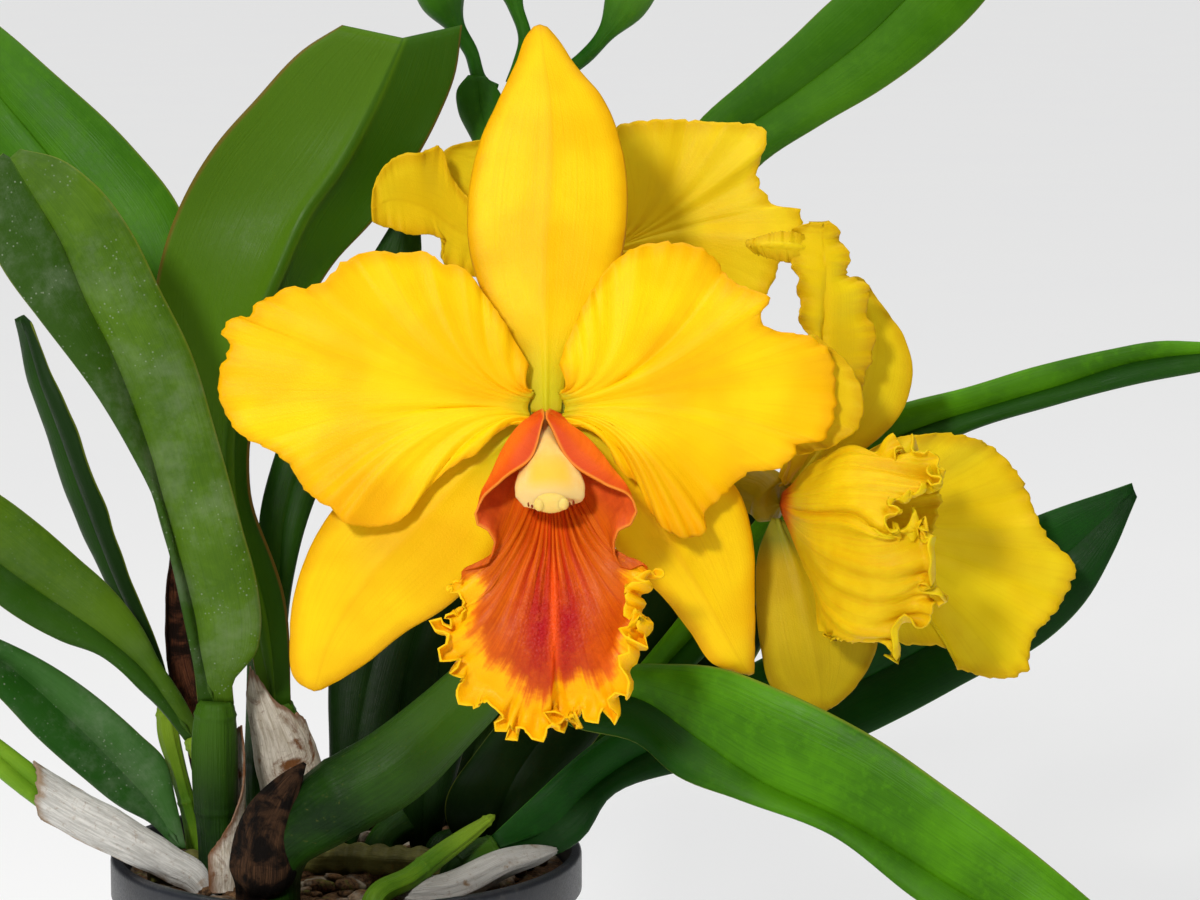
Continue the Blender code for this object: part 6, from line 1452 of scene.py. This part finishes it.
def make_sheaths():
    papery = husk_paint("papery_sheath_look", hue(232, 224, 210), hue(192, 180, 160), hue(120, 78, 46), 0.42)
    white = husk_paint("white_sheath_look", hue(216, 214, 208), hue(178, 176, 170), hue(140, 112, 80), 0.12)
    brown = husk_paint("brown_sheath_look", hue(112, 66, 42), hue(60, 34, 24), hue(30, 18, 12), 0.6)
    char = husk_paint("dark_sheath_look", hue(84, 58, 38), hue(34, 22, 14), hue(14, 9, 6), 0.72)
    husk("sheath_brown_look", drawn((44.6, 19, 54.6, 3.8), (42.4, 25, 52.6, 3.8), (39.4, 36, 55, 3.2),
                                    (36.4, 46, 56, 2.8), (35.2, 58, 56, 2.2), (34.6, 69, 56, 0.5)),
         (20, 190), brown, ["sheath_brown"], seed=2, crumple=0.2)
    husk("sheath_papery_look", ground(-7, 2.5, 5.0) + drawn((60, 18, 60, 6.4), (57.4, 28, 56.4, 6.6), (55, 36, 53, 5.4),
                                                            (52.6, 42, 50.4, 3.4), (50.6, 47.4, 49, 1.0)),
         (-235, 20), papery, ["sheath_papery"], top=((0, 0.6), (0.2, 0.82), (0.42, 1.0), (0.6, 0.97),
                                                                   (0.75, 0.8), (1, 0.66)), seed=3)
    horn = ground(-16, -36.5, 4.6) + drawn((52.6, 6, 21.4, 6.8), (53, 11, 19, 6.6), (54.4, 17, 16.4, 5.2),
                                           (57, 22, 15, 3.2), (59.4, 25.4, 14.8, 1.6), (61, 27.4, 15, 0.4))
    base = MEDIUM_TOP + 3.0
    lying = [(11, -31, base, 0.8), (16, -30.4, base, 3.4), (22, -29, base + 0.3, 4.0)]

    def creased(turn, share):
        return 0.16 * np.cos(7 * turn + 3 * share) + 0.1 * np.cos(15 * turn - 5 * share)

    rod("sheath_dark_look", horn, char, "dark_sheath", ["sheath_dark"], reach=100, sides=56, rings=70, foot=True, flat=0.9,
        relief=lambda turn, share: creased(turn, share) * step(1.0, 0.8, share))
    husk("sheath_grey_look", part_way(BULBS["bulb_front_left"], 0.02, 0.86, 1.5), (-105, 75), papery,
         ["sheath_grey"], top=((0, 0.2), (0.3, 0.45), (0.5, 0.66), (0.72, 1.0), (1, 0.9)), seed=5)
    rod("sheath_white_look", lying + drawn((101, 7.4, 37, 3.6), (107, 9, 42, 2.6), (111, 10, 46, 0.8)), white,
        "dry_sheath", ["sheath_white"], reach=100, sides=56, rings=70, flat=0.8, relief=creased)
    growth = [(-27, -21.4, MEDIUM_TOP - 1.4, 2.4)] + drawn(
        (39, 4.4, 39.4, 3.0), (34.4, 7.0, 39.4, 3.5), (26, 11.8, 38.5, 4.1), (17, 16.5, 37.5, 4.5),
        (10.4, 20.2, 36.6, 4.6), (3.6, 24.6, 35.2, 4.3))
    husk("new_growth_sheath_look", growth, (-180, 180),
         white, ["new_growth_sheath"], thickness=0.5,
         top=((0, 0.8), (0.2, 0.9), (0.5, 1.0), (0.8, 0.9), (1, 0.8)), seed=6, crumple=0.25)


# Pot and medium

def lathe(profile, sides, bumps=None):
    """Vertices and faces of a closed body turned about Z. bumps is not used."""
    turn = np.linspace(0, 2 * np.pi, sides, endpoint=False)
    rings = [np.stack([r * np.cos(turn), r * np.sin(turn), np.full(sides, z)], -1) for r, z in profile]
    vertices = np.concatenate(rings)
    index = np.arange(len(vertices)).reshape(len(profile), sides)
    around = np.roll(index, -1, axis=1)
    faces = np.stack([index[:-1], around[:-1], around[1:], index[1:]], -1).reshape(-1, 4).tolist()
    faces += [index[0][::-1].tolist(), index[-1].tolist()]
    return vertices, faces


def wall_radius(z):
    shoulder = POT_RIM_RADIUS - POT_RIM_WALL
    return POT_BASE_RADIUS + (shoulder - POT_BASE_RADIUS) * z / (POT_HEIGHT - POT_RIM_DEPTH)


def make_pot():
    shoulder = POT_HEIGHT - POT_RIM_DEPTH
    mouth = POT_RIM_RADIUS - POT_RIM_WALL
    outside = [(wall_radius(z), z) for z in np.linspace(1.6, shoulder - 0.4, 14)]
    rim = [(POT_RIM_RADIUS - 0.3, shoulder + 0.05), (POT_RIM_RADIUS, shoulder + 0.5),
           (POT_RIM_RADIUS, POT_HEIGHT - 1.2), (POT_RIM_RADIUS - 0.12, POT_HEIGHT - 0.6),
           (POT_RIM_RADIUS - 0.5, POT_HEIGHT - 0.15), (POT_RIM_RADIUS - 1.0, POT_HEIGHT),
           (mouth + 0.8, POT_HEIGHT), (mouth + 0.3, POT_HEIGHT - 0.12), (mouth, POT_HEIGHT - 0.6)]
    inside = [(wall_radius(z) - POT_WALL, z) for z in np.linspace(shoulder - 1, POT_FLOOR + 0.8, 12)]
    inside[0] = (mouth - POT_WALL / 2, shoulder - 1)
    profile = ([(2.0, 0.6), (POT_BASE_RADIUS - 3.2, 0.6), (POT_BASE_RADIUS - 2.6, 0.0), (POT_BASE_RADIUS - 0.9, 0.0),
                (POT_BASE_RADIUS - 0.2, 0.5)] + outside + rim + inside
               + [(inside[-1][0] - 0.8, POT_FLOOR), (2.0, POT_FLOOR)])
    vertices, faces = lathe(profile, 144)
    pot = publish("pot_look", vertices, faces, pot_paint(), ["pot"])
    for k in range(DRAIN_COUNT):
        angle = 2 * math.pi * k / DRAIN_COUNT
        bpy.ops.mesh.primitive_cylinder_add(vertices=24, radius=DRAIN_RADIUS * MM, depth=0.02,
                                            location=(DRAIN_CIRCLE * math.cos(angle) * MM,
                                                      DRAIN_CIRCLE * math.sin(angle) * MM, 0))
        cutter = bpy.context.object
        cut = pot.modifiers.new(f"drain_{k}", "BOOLEAN")
        cut.operation = "DIFFERENCE"
        cut.solver = "EXACT"
        cut.object = cutter
        bpy.ops.object.select_all(action="DESELECT")
        bpy.context.view_layer.objects.active = pot
        pot.select_set(True)
        bpy.ops.object.modifier_apply(modifier=cut.name)
        bpy.data.objects.remove(cutter, do_unlink=True)
    mesh = pot.data
    mesh.polygons.foreach_set("use_smooth", [True] * len(mesh.polygons))
    mesh.set_sharp_from_angle(angle=math.radians(35))


def make_medium(paint):
    """The bed and its loose bark chips."""
    low, shoulder = POT_FLOOR + 0.3, POT_HEIGHT - POT_RIM_DEPTH - 1
    clear = POT_WALL + 0.4
    top = POT_RIM_RADIUS - POT_RIM_WALL - POT_WALL / 2 - 0.4
    profile = [(wall_radius(z) - clear, z) for z in np.linspace(low, shoulder, 12)] + [(top, MEDIUM_TOP - 0.3)]
    profile += [(r, MEDIUM_TOP) for r in np.linspace(top - 0.6, 0.8, 44)]
    vertices, faces = lathe(profile, 120)
    height = vertices[:, 2].copy()
    upper = height > MEDIUM_TOP - 0.1
    vertices[upper, 2] += 0.9 * lumps(vertices[upper], 5.0, 4, 3) - 0.9
    publish("medium_look", vertices, faces, paint, ["potting_medium"], {"place": vertices})
    rng = np.random.default_rng(7)
    chips = []
    while len(chips) < 190:
        radius, angle = 45.0 * math.sqrt(rng.random()), rng.uniform(0, 2 * math.pi)
        size = rng.uniform(1.6, 4.4) * np.array([1.0, rng.uniform(0.45, 0.8), rng.uniform(0.22, 0.4)])
        x, y = radius * math.cos(angle), radius * math.sin(angle)
        if math.hypot(x, y) + size[0] > 46.5:
            continue
        spin, lean, roll = rng.uniform(0, 2 * math.pi), rng.normal(0, 0.25), rng.normal(0, 0.25)
        turned = rotation(spin, lean, roll)
        points, rings, place = blob(np.zeros(3), size, 12, 7)
        points = np.sign(points) * np.abs(points / size) ** 0.72 * size
        points = points * (1 + 0.16 * lumps(points + len(chips) * 9, 1.6, 3, 2))[:, None]
        points = points @ turned.T
        lift = -points[:, 2].min() * 0.55
        points = points + np.array([x, y, MEDIUM_TOP - 0.6 + lift])
        chips.append((points, rings, points + len(chips) * 5.0))
    joined("bark_chips_look", chips, paint)


def rotation(spin, lean, roll):
    a, b, c = (math.cos(v) for v in (spin, lean, roll))
    d, e, f = (math.sin(v) for v in (spin, lean, roll))
    turn = np.array([[a, -d, 0], [d, a, 0], [0, 0, 1]])
    tip = np.array([[b, 0, e], [0, 1, 0], [-e, 0, b]])
    side = np.array([[1, 0, 0], [0, c, -f], [0, f, c]])
    return turn @ tip @ side


# Stage

def make_stage():
    mesh = bpy.data.meshes.new("floor")
    count, radius = 128, 30.0
    ring = [(radius * math.cos(2 * math.pi * k / count), radius * math.sin(2 * math.pi * k / count), 0)
            for k in range(count)]
    mesh.from_pydata(ring, [], [list(range(count))])
    mesh.materials.append(floor_paint())
    floor = bpy.data.objects.new("floor", mesh)
    bpy.context.collection.objects.link(floor)


def make_light(name, kind, energy, place, aim, size, tint=(1, 1, 1)):
    data = bpy.data.lights.new(name, kind)
    data.energy = energy
    data.color = tint
    if kind == "SUN":
        data.angle = size
    else:
        data.shape = "DISK"
        data.size = size
    light = bpy.data.objects.new(name, data)
    light.location = place
    way = np.array(aim, dtype=float) - np.array(place, dtype=float)
    flat = math.hypot(way[0], way[1])
    light.rotation_euler = (math.atan2(flat, -way[2]), 0, math.atan2(-way[0], way[1]) if flat > 1e-9 else 0.0)
    bpy.context.collection.objects.link(light)


def make_studio():
    scene = bpy.context.scene
    scene.view_settings.view_transform = "Standard"
    world_look = bpy.data.worlds.new("studio")
    world_look.use_nodes = True
    back = world_look.node_tree.nodes["Background"]
    back.inputs[0].default_value = (0.95, 0.97, 1.0, 1)
    back.inputs[1].default_value = 0.08
    scene.world = world_look
    make_light("overhead", "SUN", 2.4, (0, 0, 3), (0, 0, 0), 1.3)
    make_light("key", "AREA", 8.0, (-0.3, -1.0, 0.7), (0.03, -0.02, 0.18), 0.16, (1.0, 0.985, 0.96))
    data = bpy.data.cameras.new("camera")
    data.lens = 120
    data.sensor_width = 36
    data.clip_end = 100
    camera = bpy.data.objects.new("camera", data)
    camera.location = (0.0544, -0.8397, 0.2944)
    camera.rotation_euler = (math.radians(82), 0, 0)
    bpy.context.collection.objects.link(camera)
    scene.camera = camera


make_pot()
make_medium(bark_paint())
make_bulbs()
make_leaves()
make_sheaths()
make_stems()
make_blooms()
make_stage()
make_studio()
